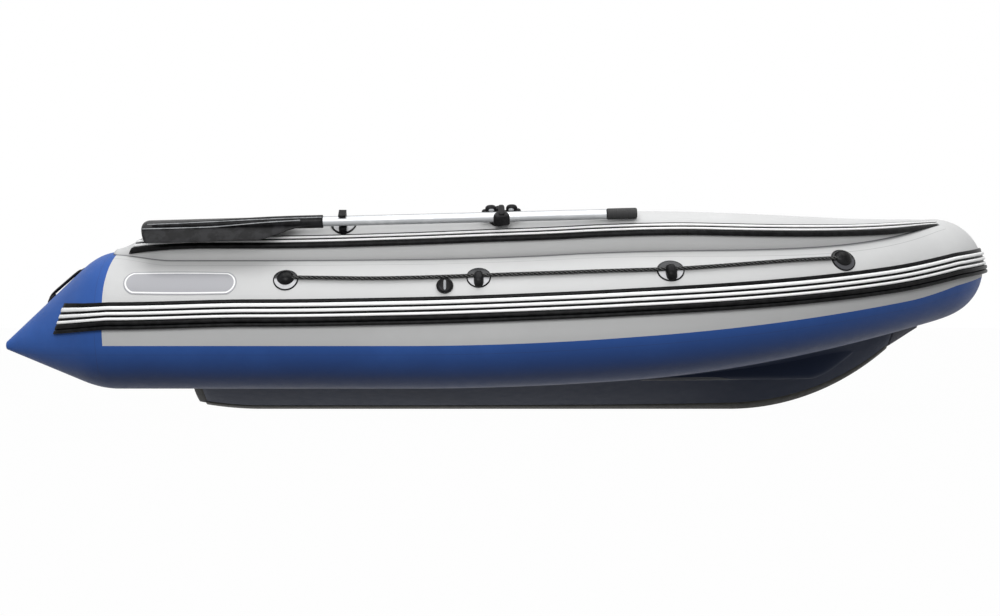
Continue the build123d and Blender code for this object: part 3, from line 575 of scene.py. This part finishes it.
def makeMainTube():
    rows = np.concatenate([spread(mainTube.tip, mainTube.coneEnd, mainTube.coneRow),
                           spread(mainTube.coneEnd + mainTube.rowStep, bowS, mainTube.rowStep)])
    rows = np.concatenate([rows, (2 * bowS - rows[:-1])[::-1]])
    turn = circle(mainTube.around) - np.pi
    points = surfaceAt(rows[:, None], turn)
    points, rows = domed(points, rows, mainTube.tipRings, mainTube.tipReach)
    # distances over the skin to the underside's edge, the cones' seam and the bulwark tube
    m = portSide(rows)[:, None]
    r = tubeRadius(rows)[:, None]
    under = np.minimum((lowerEdge(rows)[:, None] - turn) * r, (turn - mainTube.innerEdge) * r)
    lean = mainTube.seamLean * ease(turn, (mainTube.leanFrom, 0), (mainTube.leanTo, 1))
    outward, rise, size = bulwarkLine(m)
    crease = np.hypot(r * np.cos(turn) - outward, r * np.sin(turn) - rise) - size
    crease = np.where((m > boat.bulwarkAft) & (m < boat.bulwarkEnd), crease, mainTube.farReach)
    reaches = dict(undersideReach=np.maximum(under, -0.2), coneReach=lean + mainTube.coneSeam - m,
                   creaseReach=np.clip(crease, -0.1, mainTube.farReach))
    return gridPiece("mainTube", points, reaches, (rows, np.append(turn, np.pi) * boat.tubeR))


tubeNodes = ["tube_%s_%s" % (part, side) for part in ("upper", "lower")
             for side in ("port", "starboard", "bow")]
dress(makeMainTube(), fabricTube,
      tubeNodes + ["stern_cone_port", "stern_cone_starboard"])
print("main tube blown up")


# bulwark tubes on top of the main tube
bulwark = Sizes(aft=0.004, rowStep=0.014, around=56, capRings=6, capReach=0.7)


def bulwarkPoint(s, turn, lift=0.0):
    # point on the bulwark tube, turn from outboard towards up
    s, turn = np.broadcast_arrays(s, turn)
    origin, out, up, along = ringFrame(s)
    outward, rise, size = bulwarkLine(s)
    outward = outward + (size + lift) * np.cos(turn)
    rise = rise + (size + lift) * np.sin(turn)
    return origin + out * outward[..., None] + up * rise[..., None]


def makeBulwark():
    rows = spread(bulwark.aft, boat.bulwarkEnd, bulwark.rowStep)
    turn = circle(bulwark.around) - np.pi
    points = bulwarkPoint(rows[:, None], turn)
    points, rows = domed(points, rows, bulwark.capRings, bulwark.capReach)
    return gridPiece("bulwarkPort", points, uv=(rows, np.append(turn, np.pi) * boat.bulwarkR))


dressBoth(makeBulwark(), fabricGrey, "bulwark_tube_")
print("bulwark tubes blown up")


# rub strakes: ribs as (low, high, depth) up the strake, white bands on the ribs' tops
mainStrake = Sizes(
    aft=-0.182, step=0.012, lean=0.038, leanReach=0.12, height=0.092, floor=0.0075, uvHeight=0.1,
    turns=((0, 3.8), (0.5, 6.2), (1.4, 9), (2.65, 4), (bowS, 9.6)), coneDrop=0.072,
    ribs=[(0.0, 0.013, 0.018), (0.0145, 0.0285, 0.0165), (0.0305, 0.0405, 0.013),
          (0.0475, 0.0585, 0.013), (0.0655, 0.078, 0.013), (0.0800, 0.092, 0.0075)],
    white=[(0.0312, 0.0399), (0.0481, 0.0579), (0.0661, 0.0773)])
topStrake = Sizes(
    aft=0.062, end=3.02, step=0.012, lean=0.03, leanReach=0.1, height=0.044, floor=0.006,
    uvHeight=0.05,
    turns=((0.3, 13), (1.2, 13), (1.7, 11.6), (2.05, 15), (3.0, 27)),
    levelFrom=0.3, drop=0.03, curl=0.64, fadeLength=0.3, fadeTo=0.62,
    ribs=[(0.0, 0.0165, 0.016), (0.019, 0.0265, 0.0115), (0.031, 0.0385, 0.0115),
          (0.0395, 0.044, 0.006)],
    white=[(0.0195, 0.026), (0.0315, 0.038)])


def ribProfile(settings):
    # height up the strake and depth off the tube: each rib is a rounded plateau between valleys
    up, depth = [0.0], [-0.003]
    shares = ((0, 0), (0.06, 0.86), (0.2, 1), (0.5, 1.02), (0.8, 1), (0.94, 0.86), (1, 0))
    for low, high, deep in settings.ribs:
        up += [low + share * (high - low) for share, level in shares]
        depth += [deep * level or settings.floor * 0.8 for share, level in shares]
    return np.array(up + [settings.height]), np.array(depth + [-0.003])


def makeStrake(name, settings, rows, angle, fade, radius, on):
    # the profile carried along a tube; near its aft ends the rows lean with the height
    up, depth = ribProfile(settings)
    m = portSide(rows)[:, None]
    lean = settings.lean * (up / settings.height - 0.5)
    lean = lean * np.exp((settings.aft - m) / settings.leanReach)
    s = np.where(rows[:, None] < bowS, rows[:, None] + lean, rows[:, None] - lean)
    turn = angle[:, None] + (up - settings.height / 2) * (fade / radius)[:, None]
    return gridPiece(name, on(s, turn, depth * fade[:, None]), attributes=dict(upStrake=up[None]),
                     uv=(rows, np.append(up, settings.uvHeight)))


def makeMainStrake():
    rows = spread(mainStrake.aft, 2 * bowS - mainStrake.aft, mainStrake.step)
    m = portSide(rows)
    # along the cone it keeps to a straight line that drops slowly towards the stern
    aftTurn = math.radians(mainStrake.turns[0][1])
    level = boat.axisZ + boat.tubeR * math.sin(aftTurn) + mainStrake.coneDrop * m
    cone = np.arcsin(np.clip((level - axisHeight(rows)) / tubeRadius(rows), -1, 1))
    angle = np.where(m < 0, cone, np.radians(ease(m, *mainStrake.turns)))
    return makeStrake("mainStrake", mainStrake, rows, angle, np.ones(len(rows)), tubeRadius(rows),
                      surfaceAt)


def makeTopStrake():
    rows = spread(topStrake.aft, topStrake.end, topStrake.step)
    fade = ease(rows, (topStrake.end - topStrake.fadeLength, 1), (topStrake.end, topStrake.fadeTo))
    # at d aft of the level place it has dropped by drop times d plus curl times d cubed
    d = topStrake.levelFrom - rows
    size = bulwarkLine(rows)[2]
    centreZ = bulwarkPoint(rows, math.pi / 2)[:, 2] - size
    level = np.interp(topStrake.levelFrom, rows, centreZ)
    level = level + boat.bulwarkR * math.sin(math.radians(topStrake.turns[0][1]))
    level = level - topStrake.drop * d - topStrake.curl * d ** 3
    aftTurn = np.arcsin(np.clip((level - centreZ) / size, -1, 0.98))
    angle = np.where(d > 0, aftTurn, np.radians(ease(rows, *topStrake.turns)))
    return makeStrake("topStrakePort", topStrake, rows, angle, fade, size, bulwarkPoint)


dress(makeMainStrake(), strakeRubber("mainStrakeRubber", mainStrake.white),
      ["rub_strake_port", "rub_strake_starboard", "rub_strake_bow"])
dressBoth(makeTopStrake(), strakeRubber("topStrakeRubber", topStrake.white),
          "bulwark_strake_")
print("strakes glued on")


# inflated bottom between the tubes, its stern panel, the bow fairing and the keel strip
bottom = Sizes(
    aft=-1.18, panelAft=-1.214, front=1.41, fairingFront=1.53, gap=0.0004,
    rowStep=0.02, panelStep=0.01, fairingStep=0.012,
    rockerStart=0.8, stemR=0.93, rockerAft=-0.97, rockerAftLength=0.244,
    rockerAftRise=0.023, fairingSlope=0.62, keelHalf=0.09, bowHalf=0.026, frontHalf=0.01,
    topZ=0.12, bowTopZ=0.285, topStart=1.07, skirt=math.radians(-114), rim=math.radians(-140),
    sink=0.008, rimShare=0.6, edgeShare=0.4, rimRun=0.026, chineShare=0.78, chineRise=0.8,
    bellyIn=0.45, bellyUp=0.6, bulge=0.006, bellyBulge=0.008, rake=0.07, rakeLength=0.3,
    strip=0.004, stripSide=0.06, stripGap=0.0008)


def placeOf(x):
    # s along the port tube whose axis is at x
    s = np.linspace(0, bowS, 4000)
    return np.interp(x, centreLine(s)[0], s)


def keelLine(x):
    # underside of the keel strip: stern rocker, straight run, stem arc, straight fairing
    aft = np.maximum(0, bottom.rockerAft - x) / bottom.rockerAftLength
    run = np.clip(x, bottom.rockerStart, bottom.front) - bottom.rockerStart
    rise = bottom.stemR - np.sqrt(bottom.stemR ** 2 - run ** 2)
    drop = bottom.strip / np.cos(np.arcsin(run / bottom.stemR))
    fairing = bottom.fairingSlope * np.maximum(0, x - bottom.front)
    return bottom.rockerAftRise * aft ** 2 + rise + fairing, drop


def tubePoint(x, angle):
    # y and z on the port tube, a little inside its skin, in the upright plane at x
    s = placeOf(x)
    px, y, a = centreLine(s)
    r = tubeRadius(s) - bottom.sink
    return np.stack([y + r * math.cos(angle) / np.cos(a), axisHeight(s) + r * math.sin(angle)], -1)


def bottomLoop(x):
    # rows by corners by (y, z): the port half from the deck's middle round the keel and back
    half = ease(x, (bottom.rockerStart, bottom.keelHalf), (bottom.front, bottom.bowHalf),
                (bottom.fairingFront, bottom.frontHalf))
    keel, drop = keelLine(x)
    low = keel + drop
    skirt, rim = tubePoint(x, bottom.skirt), tubePoint(x, bottom.rim)
    rim[:, 0] = np.maximum(rim[:, 0], skirt[:, 0] * bottom.rimShare)
    edge = np.maximum(rim[:, 0] - bottom.rimRun, skirt[:, 0] * bottom.edgeShare)
    top = ease(x, (bottom.topStart, bottom.topZ), (bottom.front, bottom.bowTopZ))
    top = top + np.maximum(0, keel - keelLine(np.array([bottom.front]))[0])
    keelEdge = np.stack([half, low], -1)
    chine = keelEdge + (bottom.chineShare, bottom.chineRise) * (skirt - keelEdge)
    belly = np.stack([skirt[:, 0] - bottom.bellyIn * (skirt[:, 0] - chine[:, 0]),
                      chine[:, 1] + bottom.bellyUp * (skirt[:, 1] - chine[:, 1])], -1)
    return np.stack([np.stack([0 * x, top], -1), np.stack([0 * x, low], -1), keelEdge, chine, belly,
                     skirt, rim, np.stack([edge, top], -1)], 1)


def bottomPiece(name, first, last, step):
    x = spread(first, last, step)
    c = bottomLoop(x)

    def leg(p, q, count, swell=0.0):
        # points from corner p up to corner q on a shallow sine arch
        t = np.linspace(0, 1, count, endpoint=False)[None, :, None]
        side = c[:, q] - c[:, p]
        normal = np.stack([side[:, 1], -side[:, 0]], -1)
        normal /= np.maximum(np.linalg.norm(normal, axis=-1, keepdims=True), 1e-6)
        return c[:, [p]] * (1 - t) + c[:, [q]] * t + swell * np.sin(np.pi * t) * normal[:, None]

    half = np.concatenate([
        leg(1, 2, 6), leg(2, 3, 16, bottom.bulge), leg(3, 4, 8, bottom.bellyBulge),
        leg(4, 5, 8, bottom.bellyBulge), leg(5, 6, 6), leg(6, 7, 4), leg(7, 0, 14)], 1)
    # a light blur along the loop rounds its corners, and the centre line stays put
    for blur in range(2):
        half[:, 1:] = (half[:, 1:] + (np.roll(half, -1, 1)[:, 1:] + half[:, :-1]) / 2) / 2
    half[:, 0, 0] = 0
    loop = np.concatenate([half, c[:, [0]], half[:, :0:-1] * (-1, 1)], 1)
    # the stern edge rakes forward from the keel outwards
    reach = (bottom.aft + bottom.rakeLength - x) / bottom.rakeLength
    rake = bottom.rake * np.clip(reach, 0, 1.2)[:, None]
    points = np.concatenate([(x[:, None] + rake * np.abs(loop[:, :, 0]))[:, :, None], loop], -1)
    return gridPiece(name, points, uv=(x, np.linspace(0, 2.4, loop.shape[1] + 1)))


def keelPiece():
    # a flat strip under the keel whose sides turn up along the bottom
    x = spread(bottom.aft, bottom.front, bottom.rowStep)
    c = bottomLoop(x)
    half, low, chine = c[:, 2, 0], c[:, 2, 1] - bottom.stripGap, c[:, 3]
    drop = keelLine(x)[1] - bottom.stripGap
    side = bottom.stripSide * (0.35 + 0.65 * half / bottom.keelHalf)
    up = side * (chine[:, 1] - low) / (chine[:, 0] - half)
    under = low - drop
    outer, between = half + side, half + side * 0.5
    y = np.stack([0 * x, half * 0.5, half, between, outer, outer, between, half], 1)
    z = np.stack([under, under, under, under + up / 2, low - drop * 0.6 + up, low + up,
                  low + up / 2, low], 1)
    y, z = np.concatenate([y, -y[:, :0:-1]], 1), np.concatenate([z, z[:, :0:-1]], 1)
    points = np.stack([x[:, None] + 0 * y, y, z], -1)
    return gridPiece("keelStrip", points, uv=(x, np.linspace(0, 0.6, y.shape[1] + 1)))


dress(keelPiece(), rubberKeel, ["keel_strip"])
for name, first, last, step, finish, slot, node in (
        ("hullBottom", bottom.aft, bottom.front, bottom.rowStep, fabricNavy, "dark_blue_fabric",
         "hull_bottom"),
        ("sternBottomPanel", bottom.panelAft, bottom.aft - bottom.gap, bottom.panelStep,
         fabricBlack, "black_fabric", "stern_bottom_panel"),
        ("bowFairing", bottom.front + bottom.gap, bottom.fairingFront, bottom.fairingStep,
         fabricBow, "bow_fabric", "bow_fairing")):
    dress(bottomPiece(name, first, last, step), finish, [node])


# cockpit floor: a drop-stitch panel with a rounded edge and a blunt nose
floorPanel = Sizes(aft=-1.156, front=1.01, nose=0.33, noseTaper=0.92, gap=0.006, lift=0.0004,
                   thick=0.07, edge=0.014, dimple=0.0012, dimpleTurns=90, rowStep=0.02)


def makeFloor():
    # each row runs round the port edge, over the top to starboard, round that edge and back below
    nose, cut = floorPanel.front - floorPanel.nose, floorPanel.edge
    rounding = floorPanel.nose * np.sin(np.linspace(0, np.pi / 2, 22)[1:])
    x = np.concatenate([spread(floorPanel.aft, nose, floorPanel.rowStep), nose + rounding])[:, None]
    t = np.clip((x - nose) / floorPanel.nose, 0, 1)
    half = bottomLoop(x[:, 0])[:, 7, :1] - floorPanel.gap
    half = half * np.sqrt(1 - floorPanel.noseTaper * t * t)
    low, high = bottom.topZ + floorPanel.lift, bottom.topZ + floorPanel.thick
    a = np.linspace(-np.pi / 2, np.pi / 2, 13)
    edgeY, edgeZ = cut * (np.cos(a) - 1), (high + low) / 2 + (high - low) / 2 * np.sin(a)
    flat = np.linspace(1, -1, 60)[1:-1] * (half - cut)
    dimples = (np.cos(x * floorPanel.dimpleTurns) * np.cos(flat * floorPanel.dimpleTurns)) ** 8
    y = np.concatenate([half + edgeY, flat, -half - edgeY[::-1], -flat], 1)
    z = np.concatenate([edgeZ + 0 * half, high - floorPanel.dimple * dimples,
                        edgeZ[::-1] + 0 * half, low + 0 * flat], 1)
    points = np.stack([x + 0 * y, y, z], -1)
    return gridPiece("floorPanel", points, uv=(x[:, 0], np.linspace(0, 1.9, y.shape[1] + 1)))


dress(makeFloor(), fabricFloor, ["cockpit_floor"])
print("bottom and floor laid")


# bare oval badges on the stern quarters; the line lies between two shares of the way out
badge = Sizes(x=-1.159, turn=math.radians(32.6), halfLength=0.193, halfHeight=0.0475, thick=0.0014,
              lineFrom=0.80, lineTo=0.90, face=rgb(158, 158, 162), line=rgb(240, 240, 239))


def makeBadge():
    # rings of a stadium shape wrapped on the tube, the last one tucked into its skin
    share = np.concatenate([np.linspace(0.02, 1, 40), [1.0]])[:, None]
    a = circle(160)
    straight = badge.halfLength - badge.halfHeight
    u = straight * np.clip(np.cos(a) * 3, -1, 1) + badge.halfHeight * np.cos(a) * share
    v = badge.halfHeight * np.sin(a) * share
    lift = np.full(u.shape, badge.thick)
    lift[-1] = -0.001
    points = surfaceAt(badge.x - boat.aftX + u, badge.turn + v / boat.tubeR, lift)
    return gridPiece("badgePort", points, attributes=dict(badgeShare=share))


def badgeFinish():
    finish = Finish("badgeVinyl")
    rim = finish.attribute("badgeShare").band(badge.lineFrom, badge.lineTo, 0.008)
    finish.bump(rim + finish.noise(60.0) * 0.1, 0.2, 0.001)
    return finish.set(Base_Color=rim.mix(badge.face, badge.line), Roughness=0.3)


dressBoth(makeBadge(), badgeFinish())


# lifeline eyes at (s, turn, domed): each a round patch with a face under a dome or a loop
eye = Sizes(
    places=((0.6, 35.5, True), (1.262, 37, False), (1.909, 33.1, False), (2.487, 29.3, True)),
    faces=(discPaleReflection, discPaleReflection, discPaleReflection, discDarkReflection),
    radius=0.043, patch=0.0032, faceRadius=0.0385, faceLift=0.004, faceCrown=0.002,
    domeRadius=0.031, domeHeight=0.023, domeUp=0.006,
    loopWidth=0.0175, loopHeight=0.0285, loopDown=0.011, loopLift=0.027, loopPower=3.2)


def signedPower(value, power):
    return np.sign(value) * np.abs(value) ** power


def dab(name, s, turn, half, lift, power=2.0, up=0.0, on=surfaceAt, size=None):
    # a button wrapped on a tube: |u/length|^power + |v/height|^power grows to 1 at its rim, where
    # half is the radius or both; lift gives the height off the skin from the share of the way out
    share = np.concatenate([np.sin(np.linspace(0.03, np.pi / 2, 16)), [1.0]])
    a = circle(56)
    halfLength, halfHeight = np.broadcast_to(half, 2)
    u = halfLength * signedPower(np.cos(a), 2 / power) * share[:, None]
    v = halfHeight * signedPower(np.sin(a), 2 / power) * share[:, None] + up
    height = lift(share)
    height[-1] = -0.002
    turns = math.radians(turn) + v / (size or tubeRadius(s))
    return gridPiece(name, on(s + u, turns, height[:, None] + 0 * u),
                     attributes=dict(discUp=np.sin(a) * share[:, None]))


def domeLift(height, base=0.0, power=2.0):
    # a lift that falls from height to nothing like a rounded dome
    return lambda share: base + height * np.sqrt(1 - 0.999 * share ** power)


def faceLift(base, crown):
    # a lift with a slightly crowned face
    return lambda share: base + crown * (1 - share ** 2)


def patchLift(share):
    return eye.patch * np.clip((1 - share) * 14, 0.5, 1)


def loopLift(share):
    return eye.loopLift * (1 - share ** eye.loopPower) ** 0.5 + 0.002


def makeEyes():
    fittings, faces = [], []
    for i, (s, turn, domed) in enumerate(eye.places):
        fittings.append(dab("eyePatch", s, turn, eye.radius, patchLift))
        faces.append(dab("eyeFace%d" % i, s, turn, eye.faceRadius,
                         faceLift(eye.faceLift, eye.faceCrown)))
        if domed:
            fittings.append(dab("eyeDome", s, turn, eye.domeRadius, domeLift(eye.domeHeight),
                                up=eye.domeUp))
        else:
            fittings.append(dab("eyeLoop", s, turn, (eye.loopWidth, eye.loopHeight), loopLift,
                                eye.loopPower, -eye.loopDown))
    return joined("ropeEyesPort", fittings), faces


eyesPort, facesPort = makeEyes()
dressBoth(eyesPort, rubberFitting, "rope_eyes_")
# the eyes' faces carry a painted reflection on their lower halves
for face, made in zip(facesPort, eye.faces):
    dressBoth(face, made)


# inflation valve: a rim round a lower middle, and the bar of its cap
valve = Sizes(x=-0.255, turn=29.0, rim=0.029, rimFrom=0.62, slopeFrom=0.78, proud=0.0105,
              middle=0.72, barLong=0.0185, barWide=0.0048, barHeight=0.0028)
valveS = placeOf(valve.x)


def rimLift(share):
    slope = np.clip((share - valve.slopeFrom) / (1 - valve.slopeFrom), 0, 1)
    level = np.where(share < valve.rimFrom, valve.middle, 1.0)
    return valve.proud * (1 - slope ** 2) * level + 0.0012


dressBoth(dab("valveRim", valveS, valve.turn, valve.rim, rimLift), rubberFitting)
# the cap's bar is pale plastic, a painted highlight
dressBoth(dab("valveBar", valveS, valve.turn, (valve.barWide, valve.barLong),
              domeLift(valve.barHeight, valve.proud), 3.0), paintedHighlightPlastic)

# pale face on the oar clip's patch, its lower half pale as a painted reflection
clip = Sizes(x=-0.61, turn=60.0, radius=0.0385, lift=0.0036, crown=0.0012)
dressBoth(dab("clipFacePort", placeOf(clip.x), clip.turn, clip.radius,
              faceLift(clip.lift, clip.crown), on=bulwarkPoint, size=boat.bulwarkR),
          discPaleReflection)
print("eyes, valves and clip patches set")


# oars: the stowed port oar's own directions, from its rowlock
oar = Sizes(s=1.338, lean=math.radians(0.5), arm=0.044, lift=0.12, pinTurn=math.radians(60))
origin, out, up, along = (part[0] for part in ringFrame(np.array([oar.s])))
outward, rise, size = (part[0] for part in bulwarkLine(np.array([oar.s])))
pinUp = out * math.cos(oar.pinTurn) + up * math.sin(oar.pinTurn)
armWay = out * math.sin(oar.pinTurn) - up * math.cos(oar.pinTurn)
oarWay = along * math.cos(oar.lean) - pinUp * math.sin(oar.lean)
oarUp = np.cross(oarWay, armWay)
oarStart = origin + out * outward + up * rise + armWay * oar.arm + pinUp * oar.lift


def oarPoint(aft, across, high):
    # aft of the rowlock, across the shaft away from the pin, and up along the pin
    aft, across, high = np.broadcast_arrays(aft, across, high)
    return oarStart - oarWay * aft[..., None] + armWay * across[..., None] + oarUp * high[..., None]


blade = Sizes(root=0.64, full=0.84, tip=1.226, tipRound=0.019, half=0.085, rootHalf=0.022,
              crown=0.02, thick=0.006, sleeve=0.603, sleeveEnd=0.70, sleeveRadius=0.0225,
              spineEnd=1.185, spineTip=1.23, spineRadius=0.008, spineStep=0.012)
ribs = dict(
    Upper=dict(radius=0.0014, stations=(
        (1.205, 0.0078, 0.0045), (1.1, 0.0092, 0.0056), (0.98, 0.0126, 0.008),
        (0.85, 0.0166, 0.011), (0.72, 0.0184, 0.013), (0.606, 0.0182, 0.0135))),
    Lower=dict(radius=0.0017, stations=(
        (1.222, 0.0172, -0.0112), (1.1, 0.0176, -0.0112), (0.98, 0.0184, -0.0104),
        (0.9, 0.0192, -0.0056), (0.81, 0.0212, 0.0), (0.74, 0.0224, 0.003),
        (0.68, 0.0226, 0.0046))))


def makeBlade():
    # plate: t runs from root to tip, c across its top and back under it
    t = np.linspace(0, 1, 60)[:, None]
    across = np.cos(np.linspace(0, np.pi, 30))
    c = np.concatenate([across, -across[1:-1]])
    side = np.where(np.arange(len(c)) < len(across), 0.5, -0.5)
    aft = blade.root + t * (blade.tip - blade.tipRound * c ** 2 - blade.root)
    half = ease(aft, (blade.root, blade.rootHalf), (blade.full, blade.half))
    middle = -blade.crown * (half * c / blade.half) ** 2 - blade.thick / 2
    depth = blade.thick * np.sqrt(1 - 0.98 * c ** 8) * (1 - 0.5 * t)
    plate = gridPiece("bladePlatePort", oarPoint(aft, half * c, middle + side * depth))
    # spine: a sleeve over the shaft that thins to the tip
    rows = spread(blade.sleeve + 0.001, blade.spineEnd, blade.spineStep)
    aft = np.concatenate([[blade.sleeve], rows, [blade.spineEnd + 0.006]])[:, None]
    radius = ease(aft, (blade.sleeveEnd, blade.sleeveRadius), (blade.spineTip, blade.spineRadius))
    radius[0], radius[-1] = radius[0] - 0.001, 0.001
    a = circle(32)
    spine = gridPiece("bladeSpinePort", oarPoint(aft, radius * np.cos(a), radius * np.sin(a)))
    return joined("oarBladePort", [plate, spine])


def makeRib(name, radius, stations):
    # a fine raised line through (aft, outboard, up) stations in level directions
    aft, outboard, high = np.array(stations[::-1]).T
    fine = np.linspace(aft[-1], aft[0], 60)
    outboard, high = np.interp(fine, aft, outboard), np.interp(fine, aft, high)
    for blur in range(6):
        for line in (outboard, high):
            line[1:-1] = np.convolve(line, (0.25, 0.5, 0.25), "valid")
    path = oarStart - oarWay * fine[:, None] + np.stack([0 * fine, outboard, high], -1)
    return cordTube(name, path, radius, 8)[0]


dressBoth(makeBlade(), plasticBlack, "oar_blade_", "oar_")
# the blade's ribs are pale plastic, a painted highlight along its ridge
for name, rib in ribs.items():
    dressBoth(makeRib("bladeRib%sPort" % name, **rib), paintedHighlightPlastic, body="oar_")


# yoke: a bar on the pin with two wings, a bridge over the shaft and a clamp round it, then its
# nuts; each lump is (aft, across, up, half sizes, power), with a twin where aft isn't 0
yoke = Sizes(
    aft=-0.010,
    body=((0.0, -0.044, -0.010, (0.066, 0.014, 0.010), 3.0),
          (0.036, -0.044, 0.006, (0.020, 0.012, 0.017), 2.6),
          (0.054, -0.044, -0.002, (0.014, 0.012, 0.009), 2.4),
          (0.0, -0.014, 0.0185, (0.0115, 0.036, 0.0065), 3.5),
          (0.0, 0.006, -0.0035, (0.0285, 0.0215, 0.0215), 5.0),
          (0.0, -0.024, -0.014, (0.022, 0.026, 0.006), 4.0)),
    nuts=((0.034, -0.0325, 0.009, (0.0095, 0.004, 0.006), 2.2),
          (0.0, -0.044, 0.0165, (0.008, 0.008, 0.005), 3.0)))


def lumps(name, parts):
    # rounded blocks: |x/a|^power + |y/b|^power + |z/c|^power = 1
    v, u = np.meshgrid(np.linspace(-np.pi / 2, np.pi / 2, 15), circle(32), indexing="ij")
    made = []
    for aft, across, high, sizes, power in parts:
        level, z = signedPower(np.cos(v), 2 / power), signedPower(np.sin(v), 2 / power)
        x, y = level * signedPower(np.cos(u), 2 / power), level * signedPower(np.sin(u), 2 / power)
        x[[0, -1]], y[[0, -1]] = x[[1, -2]] * 0.02, y[[1, -2]] * 0.02
        x, y, z = sizes[0] * x, across + sizes[1] * y, high + sizes[2] * z
        for place in (aft, -aft) if aft else (aft,):
            made.append(gridPiece(name, oarPoint(yoke.aft + place + x, y, z)))
    return joined(name, made)


dressBoth(lumps("yokePort", yoke.body), plasticBlack, "rowlock_yoke_", "oar_")
# the nuts are pale plastic, a painted highlight
dressBoth(lumps("yokeNutsPort", yoke.nuts), paintedHighlightPlastic, body="oar_")
print("blades and yokes fitted")


# stern handles: a flat strap through (s, lift) stations on each cone's top, and moulded ends as
# (s, half width, height)
handle = Sizes(
    wide=0.0125, flat=0.42, ends=((-0.137, 0.013, 0.007), (-0.241, 0.0145, 0.013)),
    stations=((-0.128, -0.004), (-0.136, 0.005), (-0.146, 0.010), (-0.17, 0.0125), (-0.20, 0.0145),
              (-0.228, 0.0165), (-0.240, 0.0150), (-0.247, 0.007), (-0.250, -0.004)))


def makeHandle():
    s, lift, level = smoothRoute([(s, lift, 0.0) for s, lift in handle.stations], 8).T
    top = surfaceAt(s, math.pi / 2, lift)
    strap = cordTube("handleStrap", top, handle.wide, 20, handle.flat)[0]
    ends = [dab("handleEnd", s, 90, (half, half * 1.25), domeLift(height, power=4), 2.6)
            for s, half, height in handle.ends]
    return joined("sternHandlePort", [strap] + ends)


dressBoth(makeHandle(), rubberFitting, "stern_handle_")


# finishes of the CAD's own pieces
cadFinishes = (
    (boardTransom, "transom"), (boardBench, "bench_aft bench_front"),
    (plasticBlack, "transom_outer_pad transom_inner_pad drain_valve"),
    (plasticBlack, "rowlock_base_port rowlock_base_starboard bench_clips_aft bench_clips_front"),
    (rubberFitting, "tube_valves oar_clip_port oar_clip_starboard"),
    (rubberFitting, "seat_rails_aft seat_rails_front"),
    (aluminium, "oar_shaft_port oar_shaft_starboard"),
    (rubberGrip, "oar_grip_port oar_grip_starboard"))
for finish, nodes in cadFinishes:
    for node in nodes.split():
        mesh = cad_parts[node].data
        mesh.materials.clear()
        mesh.materials.append(finish)
print("fittings finished")


# plain room: a floor that looks white but bounces little light, a pale sky and two soft lamps
room = Sizes(
    floorHalf=30.0, bounce=0.16, paper=0.985, skyColour=(0.95, 0.97, 1.0, 1), sky=0.50,
    aim=(0, 0, 0.3), lampShape=0.6,
    lamps=(("keyLight", (0.4, -1.6, 5.2), 7.0, 215), ("fillLight", (-0.5, -6.5, 2.6), 4.0, 190)))


def lookedAt(tree, outputNode, lit, shown, share=1.0):
    # rays that should find a plain white background see the shown shader, and the rest the lit one
    path = tree.nodes.new("ShaderNodeLightPath")
    seen, glossy, through = (Wire(tree, path.outputs["Is %s Ray" % kind]) for kind in (
        "Camera", "Glossy", "Transmission"))
    factor = seen.greatest(glossy).greatest(through) * share
    plug(tree.nodes[outputNode], "Surface", factor.node(
        "ShaderNodeMixShader", i0=factor, i1=Wire(tree, lit), i2=Wire(tree, shown)))


ends = (-room.floorHalf, room.floorHalf)
floorGrid = np.stack(np.meshgrid(ends, ends, (0.0,), indexing="ij"), -1)[:, :, 0]
floorMesh = gridPiece("roomFloor", floorGrid, closed=False)
paper = Finish("roomFloor")
floorMesh.data.materials.append(paper.set(Base_Color=(room.bounce,) * 3 + (1,), Roughness=0.9))
glow = paper.object.node("ShaderNodeEmission").socket
lookedAt(paper.material.node_tree, "Material Output", paper.shader.outputs[0], glow, room.paper)

world = bpy.data.worlds.new("plainRoom")
scene.world = world
world.use_nodes = True
sky, plain = world.node_tree.nodes["Background"], world.node_tree.nodes.new("ShaderNodeBackground")
for shader, colour, strength in ((sky, room.skyColour, room.sky), (plain, (1, 1, 1, 1), 1.0)):
    plug(shader, "Color", colour)
    plug(shader, "Strength", strength)
lookedAt(world.node_tree, "World Output", sky.outputs[0], plain.outputs[0])

for name, place, width, watts in room.lamps:
    lamp = bpy.data.lights.new(name, "AREA")
    lamp.shape, lamp.energy = "RECTANGLE", watts
    lamp.size, lamp.size_y = width, width * room.lampShape
    holder = placed(name, lamp)
    holder.location = place
    holder.rotation_euler = (Vector(room.aim) - Vector(place)).to_track_quat("-Z", "Y").to_euler()
scene.view_settings.view_transform = "Standard"
print("room lit")

bpy.context.view_layer.update()
